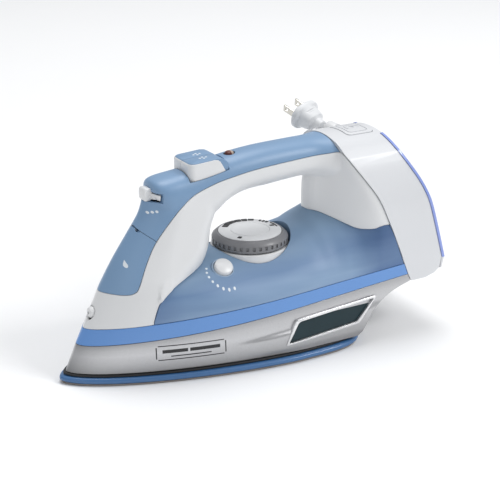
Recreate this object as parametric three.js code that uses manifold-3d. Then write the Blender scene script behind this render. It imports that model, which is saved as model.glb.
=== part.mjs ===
// Clothes iron with a retractable mains lead, as an assembly of separate pieces.
// Millimetres. +Z up, nose towards -X, heel towards +X. The origin is on the ironing plane,
// half way between nose and heel, in the symmetry plane.
import * as THREE from "three";
import { mergeVertices } from "three/addons/utils/BufferGeometryUtils.js";
import Module from "manifold-3d";

const wasm = await Module();
wasm.setup();

// ---- Driving dimensions -------------------------------------------------------------------
const NOSE = -155; // tip of the sole
const HEEL = 155; // rearmost point of the heel cover
const TOP = 157; // top of the rear housing
const SOLE_HALF = 60; // half the width of the sole
const SOLE_END = 82; // where the sole stops
const BODY_HALF = 51; // half the width of the casing
const FULL_WIDTH_X = 25; // the casing has its full width from here to the heel
const WALL = 2.2; // moulded wall
const GAP = 0.35; // between pieces that meet
const PLATE_TOP = 1.6;
const CASTING_TOP = 6;
const BOSS_TOP = 16; // the casting's raised middle, with the steam chamber in it
const SKIRT_BOTTOM = 8.3;
const DIAL = { x: 4, seat: 70, floor: 70.6, ring: 79.5, face: 89.5, top: 91, radius: 30.5 };
const SELF_CLEAN = { x: -33.5, y: -25.5, z: 74, tilt: 34, radius: 8, travel: 4 };
const PUMP = { x: -42, y: 8.6, radius: 5.6, travel: 5 };
const BLOCK = { front: -53.5, rear: -21.5, half: 14.6, rim: 139.3, low: 143.4, top: 152.8, crown: 154.3 };
const REEL = { x: 123.6, z: 86, hub: 14, flange: 37, width: 26, lean: 19 };
const CORD_DIAMETER = 6.2;
const FINE = 28; // segments round a large turned piece
const COARSE = 16; // segments round a small one

// ---- Solids -------------------------------------------------------------------------------
function solid(geometry) {
  const bare = geometry.clone();
  bare.deleteAttribute("normal");
  bare.deleteAttribute("uv");
  const merged = mergeVertices(bare, 1e-4);
  const triangles = new Uint32Array(merged.index.array);
  const made = makeManifold(merged.attributes.position.array, triangles);
  if (made.volume() > 0) return made;
  for (let i = 0; i < triangles.length; i += 3) {
    [triangles[i + 1], triangles[i + 2]] = [triangles[i + 2], triangles[i + 1]];
  }
  return makeManifold(merged.attributes.position.array, triangles);
}

function makeManifold(vertProperties, triVerts) {
  return new wasm.Manifold(new wasm.Mesh({ numProp: 3, vertProperties, triVerts }));
}

function join(...solids) {
  return solids.reduce((sum, next) => sum.add(next));
}

function cut(base, ...tools) {
  return tools.reduce((left, tool) => left.subtract(tool), base);
}

function common(...solids) {
  return solids.reduce((left, next) => left.intersect(next));
}

// The largest piece of a solid that a cut has left in several.
function mainBody(manifold) {
  const bodies = manifold.decompose();
  return bodies.reduce((best, body) => (body.volume() > best.volume() ? body : best));
}

function geometryOf(manifold) {
  const mesh = manifold.getMesh();
  const geometry = new THREE.BufferGeometry();
  geometry.setAttribute("position", new THREE.BufferAttribute(mesh.vertProperties, 3));
  geometry.setIndex(new THREE.BufferAttribute(mesh.triVerts, 1));
  const faceted = geometry.toNonIndexed();
  faceted.computeVertexNormals();
  return faceted;
}

function box(x0, x1, y0, y1, z0, z1) {
  const geometry = new THREE.BoxGeometry(x1 - x0, y1 - y0, z1 - z0);
  return solid(geometry.translate((x0 + x1) / 2, (y0 + y1) / 2, (z0 + z1) / 2));
}

// A round bar between two points, as [x, y, z]. Its end radii may differ.
function rod(from, to, radius, segments = COARSE, endRadius = radius) {
  const start = new THREE.Vector3(...from);
  const run = new THREE.Vector3(...to).sub(start);
  const geometry = new THREE.CylinderGeometry(endRadius, radius, run.length(), segments);
  const turn = new THREE.Quaternion().setFromUnitVectors(
    new THREE.Vector3(0, 1, 0),
    run.clone().normalize(),
  );
  geometry.applyQuaternion(turn).translate(...start.addScaledVector(run, 0.5).toArray());
  return solid(geometry);
}

// A side outline, as [x, z] points or a shape, given its width along Y.
function sideways(outline, halfWidth = 80, middle = 0) {
  const shape = outline.isShape ? outline : shapeOf(outline);
  const geometry = new THREE.ExtrudeGeometry(shape, {
    depth: 2 * halfWidth,
    bevelEnabled: false,
    curveSegments: 8,
  });
  geometry.rotateX(Math.PI / 2).translate(0, middle + halfWidth, 0);
  return solid(geometry);
}

function shapeOf(points) {
  return new THREE.Shape(points.map(([x, z]) => new THREE.Vector2(x, z)));
}

// A plan outline, as a list of [x, y], given its height.
function upright(points, z0, z1) {
  const geometry = new THREE.ExtrudeGeometry(shapeOf(points), {
    depth: z1 - z0,
    bevelEnabled: false,
  });
  return solid(geometry.translate(0, 0, z0));
}

// A turned piece about Z: [radius, z] points that start and end on the axis or close on themselves.
function turned(profile, segments = FINE) {
  const points = profile.map(([radius, z]) => new THREE.Vector2(radius, z));
  const geometry = new THREE.LatheGeometry(points, segments);
  return solid(geometry.rotateX(Math.PI / 2));
}

// A skin through rings of equal length, with flat ends.
function loft(rings) {
  const count = rings[0].length;
  const positions = [];
  const index = [];
  for (const ring of rings) {
    for (const point of ring) positions.push(...point);
  }
  for (let i = 0; i + 1 < rings.length; i++) {
    for (let j = 0; j < count; j++) {
      const a = i * count + j;
      const b = i * count + ((j + 1) % count);
      index.push(a, b, b + count, a, b + count, a + count);
    }
  }
  for (const [ring, first] of [[rings[0], 0], [rings.at(-1), (rings.length - 1) * count]]) {
    const middle = positions.length / 3;
    for (const axis of [0, 1, 2]) {
      positions.push(ring.reduce((sum, point) => sum + point[axis], 0) / count);
    }
    for (let j = 0; j < count; j++) {
      const edge = [first + j, first + ((j + 1) % count)];
      index.push(...(first ? edge : edge.reverse()), middle);
    }
  }
  const geometry = new THREE.BufferGeometry();
  geometry.setAttribute("position", new THREE.Float32BufferAttribute(positions, 3));
  geometry.setIndex(index);
  return solid(geometry);
}

// A bar of a round section along a curve through hand-chosen points.
function tube(points, diameter, sides = 8, steps = 24) {
  const path = new THREE.CatmullRomCurve3(points.map((point) => new THREE.Vector3(...point)));
  const shape = new THREE.Shape();
  for (let i = 0; i < sides; i++) {
    const angle = (2 * Math.PI * i) / sides;
    const spot = [(diameter / 2) * Math.cos(angle), (diameter / 2) * Math.sin(angle)];
    if (i === 0) shape.moveTo(...spot);
    else shape.lineTo(...spot);
  }
  shape.closePath();
  const geometry = new THREE.ExtrudeGeometry(shape, { steps, extrudePath: path, bevelEnabled: false });
  return solid(geometry);
}

// A smooth value between stations, as [place, value] pairs in rising order.
function between(stations) {
  const last = stations.length - 1;
  const slope = stations.map((_, i) => {
    const before = stations[Math.max(i - 1, 0)];
    const after = stations[Math.min(i + 1, last)];
    return (after[1] - before[1]) / (after[0] - before[0]);
  });
  return (place) => {
    if (place <= stations[0][0]) return stations[0][1];
    if (place >= stations[last][0]) return stations[last][1];
    const i = stations.findIndex((station) => station[0] > place) - 1;
    const width = stations[i + 1][0] - stations[i][0];
    const t = (place - stations[i][0]) / width;
    const rise = stations[i + 1][1] - stations[i][1];
    const a = slope[i] * width - rise;
    const b = rise - slope[i + 1] * width;
    return stations[i][1] + t * rise + t * (1 - t) * (a * (1 - t) + b * t);
  };
}

function steps(from, to, count) {
  return Array.from({ length: count + 1 }, (_, i) => from + ((to - from) * i) / count);
}

// ---- Outlines -----------------------------------------------------------------------------
// A pointed oval at height z: a nose that widens over frontRun, straight flanks, a rounded rear.
function oval({ front, rear, half, frontRun, rearRun, p = 1.6, q = 1.5, square = 2 }, z, count = 8) {
  const side = [];
  for (const k of steps(0, Math.PI / 2, count)) {
    const x = front + frontRun * (1 - Math.cos(k) ** (2 / p));
    side.push([x, half * Math.sin(k) ** (2 / q)]);
  }
  for (const k of steps(Math.PI / 2, 0, count)) {
    const x = rear - rearRun * (1 - Math.cos(k) ** (2 / square));
    side.push([x, half * Math.sin(k) ** (2 / square)]);
  }
  side[0][1] = 0;
  const near = side.slice(1, -1).reverse();
  return [...side, ...near.map(([x, y]) => [x, -y])].map(([x, y]) => [x, y, z]);
}

function soleOutline(inset) {
  const outline = oval(
    {
      front: NOSE + inset,
      rear: SOLE_END - inset,
      half: SOLE_HALF - inset,
      frontRun: 171 - inset,
      rearRun: 66 - inset,
      p: 1.48,
      q: 1.6,
      square: 4,
    },
    0,
    9,
  );
  // The two quarters of a flank meet at the same point, which is kept once.
  const repeated = ([x, y], i) => {
    if (i === 0) return false;
    const [lastX, lastY] = outline[i - 1];
    return Math.abs(x - lastX) < 1e-6 && lastY * y > 0;
  };
  return outline.filter((point, i) => !repeated(point, i)).map(([x, y]) => [x, y]);
}

const noseX = between([[0, -154], [8.3, -150], [27.7, -141], [38.7, -135.5], [66, -122], [80, -114.8]]);
const flankAt = between([[6, 56.5], [20, 54], [40, BODY_HALF], [80, BODY_HALF]]);
const bandBottom = (x) => 27.7 + 20.2 * Math.max((x + 141) / 259, 0) ** 0.85;
const bandTop = (x) => 38.7 + 18 * Math.max((x + 135.3) / 247, 0) ** 0.7;

// The casing below the tank and the housing, as level rings.
function lowerCasing(inset) {
  const rings = [5, 11, 19, 28, 38, 50, 62].map((z) => {
    const front = noseX(z) + inset * 1.4;
    const p = THREE.MathUtils.mapLinear(Math.min(z, 40), 8, 40, 1.5, 2.2);
    return oval(
      {
        front,
        rear: HEEL + 20,
        half: flankAt(z) - inset,
        frontRun: FULL_WIDTH_X - front,
        rearRun: 4,
        p,
        q: 1.6,
        square: 8,
      },
      z,
      8,
    );
  });
  return loft(rings);
}

// Side outline of the strip between two lines that run from the nose to the housing.
function strip(low, high, end, inset = 0) {
  const from = NOSE - 5;
  const along = steps(from, end - inset, 12);
  return sideways([
    ...along.map((x) => [x, low(x)]),
    ...along.reverse().map((x) => [x, high(x)]),
  ]);
}

// The front edge of the rear housing, from the bottom up, moved forwards by an offset.
function housingFront(offset = 0) {
  const edge = [
    [121, 40],
    [112.3, 60.8],
    [98.1, 95.3],
    [89.9, 113.5],
    [81.7, 126.3],
    [72.4, 140.1],
    [68.2, 148.6],
    [66.5, 160],
  ];
  return edge.map(([x, z]) => [x - offset, z]);
}

const inFrontOfHousing = sideways([...housingFront(GAP), [-200, 160], [-200, 0], [121 - GAP, 0]]);

// ---- The tank and the handle --------------------------------------------------------------
const ridge = between([
  [-100, 70],
  [-75, 75],
  [-38, 80],
  [0, 84.3],
  [22, 87],
  [34, 89.2],
  [44, 93],
  [51, 98.4],
  [57, 101.2],
  [64, 102.5],
  [75, 103.3],
  [130, 106],
]);
const squareness = between([
  [-100, 2.7],
  [-75, 2.6],
  [-38, 1.9],
  [-8, 1.6],
  [34, 1.8],
  [46, 1.6],
  [56, 1.5],
  [66, 1.65],
  [74.7, 1.85],
  [79.2, 2.05],
  [87.7, 3],
  [97, 5],
  [130, 5],
]);
const bodyHalfAtBand = (x) => {
  const z = bandTop(x);
  const s = (x - noseX(z)) / (FULL_WIDTH_X - noseX(z));
  return s >= 1 ? BODY_HALF : BODY_HALF * (1 - (1 - s) ** 2.2) ** (1 / 1.6);
};

// The water tank's outer skin, made smaller by an inset and extended down by a skirt.
function tankSkin(inset, down = 0) {
  const stations = [-97, -86, -72, -55, -38, -20, -2, 16, 32, 42, 49, 57, 68, 80, 92, 104, 122];
  const rings = stations.map((x) => {
    const low = bandTop(x) + GAP;
    const half = bodyHalfAtBand(x) - 0.6 - inset;
    const high = ridge(x) - inset;
    const power = 2 / squareness(x);
    const arc = steps(0, Math.PI, 14).map((k) => {
      const c = Math.cos(k);
      const y = half * Math.sign(c) * Math.abs(c) ** power;
      return [x, y, low + (high - low) * Math.max(Math.sin(k), 0) ** power];
    });
    if (down > 0) arc.push([x, -half, low - down], [x, half, low - down]);
    return arc;
  });
  return loft(rings);
}

// Everything behind the seam where the white prow meets the tank.
function behindSeam(offset) {
  const seam = [[-94.6, 20], [-94, 45], [-91.5, 57], [-87, 65], [-79, 70.5], [-64, 74.5]];
  return sideways([...seam.map(([x, z]) => [x - offset, z + offset]), [-64, 130], [140, 130], [140, 20]]);
}

// The prow and column: level rings from the band up to the grip.
function column(inset) {
  const stations = [
    // z, front, half width, nose run, rear, rear run
    [34, -137.9, 35, 60, -60, 20],
    [50, -130, 34.4, 54, -54, 30],
    [58, -126, 33.2, 49, -50, 38],
    [66, -122, 31.8, 44, -46, 42],
    [73, -118, 30, 41, -42, 42],
    [80, -114, 27.4, 38, -38, 32],
    [90, -107.6, 24.6, 34, -35.6, 20],
    [103, -98.4, 22, 29, -33.6, 16],
    [116, -89.6, 19.6, 26, -28, 16],
    [123, -86.6, 18.8, 25, -26, 18],
    [129, -85, 18.2, 24, -24, 18],
  ];
  return loft(
    stations.map(([z, front, half, frontRun, rear, rearRun]) =>
      oval({ front: front + inset * 1.2, rear: rear - inset, half: half - inset, frontRun, rearRun }, z, 5),
    ),
  );
}

// The grip: upright rings from the nose cap to the housing.
function grip(inset) {
  const stations = [
    // x, underside, top, half width, squareness
    [-80, 132, 139.2, 6, 2],
    [-79, 129, 141, 10.4, 2.2],
    [-76, 123, 142.4, 14.8, 2.4],
    [-70, 115, 143.6, 17.4, 2.6],
    [-58, 108.6, 145, 18.2, 2.7],
    [-44, 106, 147, 18.4, 2.6],
    [-32, 110, 149.6, 18.4, 2.4],
    [-20, 118.6, 151.8, 18, 2.3],
    [-6, 123.4, 153.7, 17.8, 2.2],
    [12, 124.8, 155.2, 17.6, 2.2],
    [44, 127.2, 156, 17.8, 2.2],
    [54, 126.4, 156, 19, 2.2],
    [62, 124, 156.3, 22.5, 2.2],
    [68, 122, 156.5, 26, 2.2],
    [78, 117, 156.8, 32, 2.2],
  ];
  return loft(
    stations.map(([x, low, high, half, square]) => {
      const mid = (low + high) / 2;
      return steps(0, 2 * Math.PI, 18)
        .slice(0, -1)
        .map((k) => [
          x + (x < -74 ? inset : 0),
          (half - inset) * Math.sign(Math.cos(k)) * Math.abs(Math.cos(k)) ** (2 / square),
          mid + ((high - low) / 2 - inset) * Math.sign(Math.sin(k)) * Math.abs(Math.sin(k)) ** (2 / square),
        ]);
    }),
  );
}

const wallAt = between([
  [30, BODY_HALF],
  [57, BODY_HALF],
  [105, 48],
  [122, 43],
  [143, 33],
  [149.2, 26.4],
]);
const frontAt = between(housingFront().map(([x, z]) => [z, x]));

// The rear leg: level rings that flare from the end of the grip to the width of the housing,
// full at the tank and hollowed out under the grip.
function rearLeg(inset) {
  const start = between([[84, 52], [120, 52], [135, 56], [150, 62]]);
  const hollowness = between([[96, 1], [126, 1.7]]);
  return loft(
    [86, 97, 108, 119, 130, 139, 147].map((z) => {
      const front = start(z) + inset;
      const end = frontAt(z) + 8;
      const wide = wallAt(z) - 0.6 - inset;
      const narrow = Math.max(9 - inset, 5);
      const side = [
        [front, 0],
        [front + 1.5, narrow * 0.6],
        [front + 4, narrow],
      ];
      for (const t of [0.25, 0.5, 0.75, 1]) {
        const flare = Math.sin((t * Math.PI) / 2) ** hollowness(z);
        const x = THREE.MathUtils.lerp(front + 4, end - 8, t);
        side.push([x, THREE.MathUtils.lerp(narrow, wide, flare)]);
      }
      side.push([end, wide]);
      const near = side.slice(1).reverse();
      return [...side, ...near.map(([x, y]) => [x, -y])].map(([x, y]) => [x, y, z]);
    }),
  );
}

// Where the blue cover meets the white body, from the housing forwards and down to the prow.
const COVER_LINE = [
  [90, 147.6],
  [68, 147],
  [54, 145.5],
  [3, 142.4],
  [-23, 139],
  [-37, 136],
  [-52, 131],
  [-62, 124],
  [-69, 117],
  [-83, 101],
  [-91.5, 87],
  [-99.5, 71],
  [-103, 67],
  [-109, 65.4],
  [-122, 65.4],
  [-160, 65.4],
];

function aboveCoverLine(offset) {
  const line = COVER_LINE.map(([x, z]) => [x + offset, z - offset]);
  return sideways([...line, [-160, 190], [90, 190]]);
}

const handleOuter = common(join(column(0), grip(0), rearLeg(0)), inFrontOfHousing);
const handleInner = join(column(WALL), grip(WALL), rearLeg(WALL));
const belowBand = strip(() => 0, (x) => bandTop(x) + GAP, 150);
const tankKeepOut = join(common(tankSkin(-GAP, 60), behindSeam(GAP)), belowBand);
const leverSlot = box(-110, -73.6, -30, 30, 127.6, 138);
const blockWell = box(
  BLOCK.front - 0.4,
  BLOCK.rear + 0.4,
  -BLOCK.half - 0.4,
  BLOCK.half + 0.4,
  133,
  170,
);
const indicatorHole = rod([-13.5, 0, 140], [-13.5, 0, 170], 4.4);
const SEAM_POINT = [-92.9, 109.2]; // the door's top seam, where it crosses the symmetry plane
const SEAM_SLOPE = -0.77;
const seamZ = (x) => SEAM_POINT[1] + SEAM_SLOPE * (x - SEAM_POINT[0]);
const HINGE = { x: -92.2, z: 107.75, half: 2.4, radius: 1.6, pin: 0.7 }; // just under the door's top seam

function belowDoorSeam(offset) {
  return sideways([[-140, seamZ(-140) - offset], [-60, seamZ(-60) - offset], [-60, 20], [-140, 20]]);
}

function handleBody() {
  const shell = cut(handleOuter, handleInner, aboveCoverLine(0), tankKeepOut);
  const nozzleHole = rod([-140, 0, 50], [-110, 0, 50], 5.2);
  return mainBody(cut(shell, nozzleHole));
}

const coverShell = common(cut(handleOuter, handleInner), aboveCoverLine(-GAP));

function gripCover() {
  const aboveSeam = cut(coverShell, belowDoorSeam(-GAP / 2), leverSlot, blockWell, indicatorHole);
  return cut(aboveSeam, hingeSweep(), hingeRod(HINGE.pin + 0.4, 30));
}

function fillDoor() {
  const leaf = common(coverShell, belowDoorSeam(GAP / 2));
  return cut(join(leaf, hingeRod(HINGE.radius, HINGE.half)), hingeRod(HINGE.pin + 0.35, 30));
}

// What the door's top edge sweeps as it opens: widest in the middle, where the skin is furthest out.
function hingeSweep() {
  const half = [[2.8, 0], [2.7, 1.5], [2.2, 2.8], [1.9, 3.6], [1.3, 5], [1, 6], [0, 6]];
  const spindle = [...half.slice().reverse(), ...half.slice(1).map(([radius, y]) => [radius, -y])];
  return turned(spindle, 24).rotate([90, 0, 0]).translate([HINGE.x, 0, HINGE.z]);
}

function hingeRod(radius, half) {
  return rod([HINGE.x, -half, HINGE.z], [HINGE.x, half, HINGE.z], radius, 16);
}

function tank() {
  const outer = common(tankSkin(0), behindSeam(0), inFrontOfHousing);
  const wellPoint = (z) => [DIAL.x, 0, z];
  const dialWell = rod(wellPoint(DIAL.seat), wellPoint(130), DIAL.radius + 1.6, FINE);
  const dialWall = rod(wellPoint(DIAL.seat - WALL), wellPoint(130), DIAL.radius + 1.6 + WALL, FINE);
  const buttonWell = rod(...selfCleanAxis(-7, 30), SELF_CLEAN.radius + 1);
  const buttonWall = rod(...selfCleanAxis(-7 - WALL, 30), SELF_CLEAN.radius + 1 + WALL);
  const insideRear = sideways([...housingFront(GAP + WALL), [-200, 160], [-200, 0], [120, 0]]);
  const inside = common(tankSkin(WALL, 6), behindSeam(-WALL), insideRear);
  const cavity = cut(inside, dialWall, buttonWall);
  const shaftTube = rod([DIAL.x, 0, 50.5], [DIAL.x, 0, DIAL.seat - 1], 6.4);
  const shaftHole = rod([DIAL.x, 0, 30], [DIAL.x, 0, 100], 4.2);
  const shell = cut(outer, cavity, dialWell, buttonWell);
  const valveHole = rod([VALVE_X, 0, 40], [VALVE_X, 0, 100], 3.4);
  const plungerHole = rod(...selfCleanAxis(-12, 0), 2.6);
  return cut(join(shell, shaftTube), shaftHole, valveHole, plungerHole);
}

// Two points on the self-clean button's axis, at heights along it measured from the tank's skin.
function selfCleanAxis(low, high) {
  const tilt = THREE.MathUtils.degToRad(SELF_CLEAN.tilt);
  const at = (h) => [SELF_CLEAN.x, SELF_CLEAN.y - h * Math.sin(tilt), SELF_CLEAN.z + h * Math.cos(tilt)];
  return [at(low), at(high)];
}

// ---- Sole and skirt -----------------------------------------------------------------------
const VALVE_X = -70; // the steam valve's axis
const STEAM_HOLES = [
  [-132, 0],
  ...[-14, 0, 14].map((y) => [-108, y]),
  ...[-24, 24].map((y) => [-84, y]),
  ...[-34, 34].map((y) => [-58, y]),
  ...[-42, 42].map((y) => [-30, y]),
  ...[-46, 46].map((y) => [0, y]),
  ...[-47, 47].map((y) => [30, y]),
];

function soleplate() {
  const plate = upright(soleOutline(1.2), 0, PLATE_TOP);
  return cut(plate, ...STEAM_HOLES.map(([x, y]) => rod([x, y, -5], [x, y, 5], 2.4, 6)));
}

const CHAMBER = box(-110, 50, -60, 60, 0, 60); // how far the steam chamber reaches along the sole

function soleCasting() {
  const rim = upright(soleOutline(0), PLATE_TOP + GAP, CASTING_TOP);
  const boss = common(upright(soleOutline(11), PLATE_TOP + 1, BOSS_TOP), box(-137, 58, -60, 60, 0, 40));
  const chamber = common(upright(soleOutline(26), 8, 40), CHAMBER);
  return cut(join(rim, boss), chamber, tube(ELEMENT_ROUTE, 8.6, 8, 22));
}

// The heating element's U: up one flank, round the nose and back, between boss edge and chamber.
const ELEMENT_ROUTE = (() => {
  const flank = soleOutline(18.5).filter(([x, y]) => y > 0 && x > -116 && x < 50);
  const half = [[-121, 9.5], ...flank, [54, flank.at(-1)[1]]];
  const mirrored = half.map(([x, y]) => [x, -y]);
  return [...half.reverse(), [-126, 0], ...mirrored].map(([x, y]) => [x, y, BOSS_TOP]);
})();

function heatingElement() {
  return tube(ELEMENT_ROUTE, 7.6, 8, 22);
}

function chamberCover() {
  const inside = box(-109, 49, -60, 60, 0, 60);
  const plate = common(upright(soleOutline(27), BOSS_TOP - 2, BOSS_TOP + 0.4), inside);
  return cut(plate, rod([VALVE_X, 0, 0], [VALVE_X, 0, 40], 3.4));
}

function insulatingRing() {
  const ring = upright(soleOutline(3), CASTING_TOP + GAP, SKIRT_BOTTOM - GAP);
  return cut(ring, upright(soleOutline(10.4), 0, 40));
}

// The underside of the rear overhang, from the sole up to the housing.
function overhang(offset) {
  const curve = [[62, 0], [64.5, 7], [70.5, 10], [77, 18], [85.5, 27], [102, 36.5], [120, 42]];
  return sideways([...curve.map(([x, z]) => [x - offset, z + offset * 0.7]), [170, 44], [170, 0]]);
}

function skirt() {
  const top = (x) => bandBottom(x) - GAP;
  const outer = common(lowerCasing(0), strip(() => SKIRT_BOTTOM, top, 140), inFrontOfHousing);
  const inner = common(lowerCasing(WALL), strip(() => 0, (x) => bandBottom(x) + 8, 116));
  const shell = cut(outer, overhang(0), cut(inner, overhang(WALL)));
  return cut(shell, ...[1, -1].map((side) => windowPocket(side)));
}

// The dark window in the skirt's flank: a leaning parallelogram, as [x, z].
const WINDOW = [[6, 16], [16, 30.5], [84, 35.5], [66, 20.5]];

function windowPocket(side) {
  const middle = side * (BODY_HALF + 11.2);
  return common(sideways(WINDOW, 10, middle), cut(lowerCasing(-2), lowerCasing(1.2)));
}

function windowPanel(side) {
  const centre = WINDOW.reduce((sum, [x, z]) => [sum[0] + x / 4, sum[1] + z / 4], [0, 0]);
  const smaller = WINDOW.map(([x, z]) => [x + (centre[0] - x) * 0.03, z + (centre[1] - z) * 0.06]);
  const layer = cut(lowerCasing(0.2), lowerCasing(0.9));
  return common(sideways(smaller, 10, side * (BODY_HALF + 11.2)), layer);
}

function baseTray() {
  const outer = common(lowerCasing(0), strip(bandBottom, bandTop, 140), inFrontOfHousing);
  const hollow = strip((x) => bandBottom(x) + WALL, (x) => bandTop(x) + 9, 112);
  const inner = common(lowerCasing(WALL), hollow);
  const valveHole = rod([VALVE_X, 0, 0], [VALVE_X, 0, 60], 5.5);
  const shaftHole = rod([DIAL.x, 0, 0], [DIAL.x, 0, 60], 5.5);
  return cut(outer, inner, valveHole, shaftHole);
}

function tankFloor() {
  const low = (x) => bandTop(x) - 5;
  const high = (x) => bandTop(x) - 3;
  const plate = common(lowerCasing(WALL + 0.5), strip(low, high, 110), box(-124, 110, -80, 80, 0, 90));
  const shaftHole = rod([DIAL.x, 0, 0], [DIAL.x, 0, 60], 5.5);
  return cut(plate, shaftHole, rod([VALVE_X, 0, 0], [VALVE_X, 0, 60], 5.5));
}

function tankSeal() {
  const low = (x) => bandTop(x) - 2.6;
  const high = (x) => bandTop(x) - GAP;
  const plate = common(lowerCasing(WALL + 0.4), strip(low, high, 109));
  return cut(plate, common(lowerCasing(WALL + 3.4), box(-122, 104, -80, 80, 0, 90)));
}

// ---- Rear housing -------------------------------------------------------------------------
// The rear edge of the housing, where the trim ring lies, from the bottom up.
const TRIM_LINE = [[152.6, 46], [152.4, 56], [139.2, 104.4], [132, 120.9], [118.4, 143], [110.5, 158]];

// The housing's shoulder and crown, as [y, z] from the wall to the middle.
const CROWN = [[33, 143], [26.4, 149.2], [22.4, 152], [18.4, 154], [14, 155.3], [7, 156.6], [0, TOP]];

// The housing's rounded cross-section, run from front to back and moved inwards by an inset.
function housingSection(inset) {
  const wall = [57, 80, 105, 114, 122, 133].map((z) => [wallAt(z), z]);
  const line = [[wallAt(41.4), 29.4], ...wall, ...CROWN];
  const side = line.map(([y, z], i) => {
    const [y0, z0] = line[Math.max(i - 1, 0)];
    const [y1, z1] = line[Math.min(i + 1, line.length - 1)];
    const slope = i === line.length - 1 ? [-1, 0] : [y1 - y0, z1 - z0];
    const length = Math.hypot(...slope);
    return [y - (inset * slope[1]) / length, z + (inset * slope[0]) / length];
  });
  const outline = [...side, ...side.slice(0, -1).map(([y, z]) => [-y, z]).reverse()];
  const geometry = new THREE.ExtrudeGeometry(shapeOf(outline), { depth: 120, bevelEnabled: false });
  geometry.rotateX(Math.PI / 2).rotateZ(Math.PI / 2).translate(50, 0, 0);
  return solid(geometry);
}

// Side outline of the housing, cut off a given distance in front of the trim line.
function housingSide(frontInset, rearInset, bottomInset) {
  const bottom = [[150.4, 47.4], [134.3, 41.6], [121.2, 41.6]];
  const rear = TRIM_LINE.slice(1).map(([x, z]) => [x - rearInset, z]);
  const corner = bottom.map(([x, z], i) => [x - (i ? 0 : rearInset), z + bottomInset]);
  const front = housingFront(-frontInset).slice(1);
  corner[2][0] += frontInset;
  return sideways([...corner.reverse(), ...rear, [front.at(-1)[0], 158], ...front.slice(0, -1).reverse()]);
}

const ROOF_HALF = 17; // the housing covers the trim ring this far from the middle
function rearHousing() {
  const overTrim = cut(box(60, 130, -ROOF_HALF, ROOF_HALF, 140, 170), housingSection(WALL));
  const roof = common(housingSection(0), housingSide(0, 0, 0), overTrim);
  const outer = join(common(housingSection(0), housingSide(0, 2.6, 0)), roof);
  const inner = common(housingSection(WALL), housingSide(WALL, -20, WALL));
  const retractHole = box(82, 107, -14, 14, 150, 170);
  const exitHole = rod(...exitSpan(-14, 12), CORD_DIAMETER / 2 + 3.4);
  return cut(outer, inner, retractHole, exitHole);
}

function trimRing() {
  const roofWall = ROOF_HALF + 0.4;
  const underRoof = cut(box(100, 170, -roofWall, roofWall, 140, 170), housingSection(WALL + 0.4));
  const outer = cut(housingSection(-0.6), underRoof, box(100, 170, -80, 80, 0, 56));
  const band = cut(housingSide(0, 0, 0), housingSide(0, 2.3, -10));
  return common(cut(outer, insideBelowCrown(2.6, 4.4, 143)), band);
}

// The housing's inside, at one inset from its walls and a deeper one from its crown.
function insideBelowCrown(wallInset, crownInset, crownStart) {
  const below = box(50, 170, -80, 80, 0, crownStart);
  return join(common(housingSection(wallInset), below), housingSection(crownInset));
}

function heelCover() {
  const band = cut(housingSide(0, -2.6, 0), housingSide(0, 2.2, -10));
  const plate = common(insideBelowCrown(3.6, 5.4, 142), band);
  return cut(plate, ...HEEL_SCREWS.map(([y, z]) => screwHole(y, z)));
}

const HEEL_SCREWS = [[-34, 66], [34, 66]];
const heelX = (z) => THREE.MathUtils.mapLinear(z, 56, 104.4, 155, 141.8);

function screwHole(y, z) {
  return rod([heelX(z) - 12, y, z], [heelX(z) + 12, y, z], 2.4, 12);
}

function heelScrew(y, z) {
  return rod([heelX(z) - 9, y, z], [heelX(z) - 1.2, y, z], 2, 12);
}

// ---- Mains lead ---------------------------------------------------------------------------
const EXIT = [93.5, 27, 149.5]; // where the lead leaves the housing
const PLUG_AXIS = new THREE.Vector3(-0.267, 0.911, 0.322).normalize();
const BLADE_AXIS = new THREE.Vector3(0.951, 0.194, 0.234).normalize();
const PLUG_TAIL = new THREE.Vector3(91.2, 34.1, 149.7);

function exitSpan(inwards, outwards) {
  const [dx, dy, dz] = [-0.29, 0.945, 0.15]; // the lead's direction at the exit
  return [inwards, outwards].map((run) => [EXIT[0] + dx * run, EXIT[1] + dy * run, EXIT[2] + dz * run]);
}

// The lead's route from the reel to the plug, chosen by hand.
const LEAD_ROUTE = [
  [100.6, -12, 122.4],
  [100.2, -2, 124],
  [99, 6, 129.5],
  [97.6, 11, 137],
  [96.4, 15.4, 143.4],
  [95, 21, 147.6],
  [93.5, 27, 149.4],
  [91.9, 32, 149.6],
];

function cordLead() {
  return tube(LEAD_ROUTE, CORD_DIAMETER, 10, 20);
}

function cordGuide() {
  const collar = rod(...exitSpan(-6, 3.2), CORD_DIAMETER / 2 + 3);
  return cut(collar, rod(...exitSpan(-10, 10), CORD_DIAMETER / 2 + 1.4));
}

// A solid in the plug's own frame: Z along the blades, X from blade to blade.
function onPlug(shape) {
  const across = new THREE.Vector3().crossVectors(PLUG_AXIS, BLADE_AXIS);
  const frame = new THREE.Matrix4().makeBasis(BLADE_AXIS, across, PLUG_AXIS).setPosition(PLUG_TAIL);
  return shape.transform(frame.toArray());
}

function plugBody() {
  const stations = [
    // along the axis, half widths
    [0.4, 4.6, 4.6],
    [7, 5, 5],
    [8.4, 8.5, 7],
    [17, 10, 8.5],
    [19.6, 13.5, 10.5],
    [23.6, 13.5, 10.5],
  ];
  const rings = stations.map(([z, halfX, halfY]) =>
    steps(0, 2 * Math.PI, 16)
      .slice(0, -1)
      .map((k) => [halfX * Math.cos(k), halfY * Math.sin(k), z]),
  );
  const holes = [-1, 1].map((side) => boxAbout(side * 6.35, 0, 23.6, 2.2, 7, 12));
  return onPlug(cut(loft(rings), ...holes));
}

function boxAbout(x, y, z, sx, sy, sz) {
  return box(x - sx / 2, x + sx / 2, y - sy / 2, y + sy / 2, z - sz / 2, z + sz / 2);
}

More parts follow.
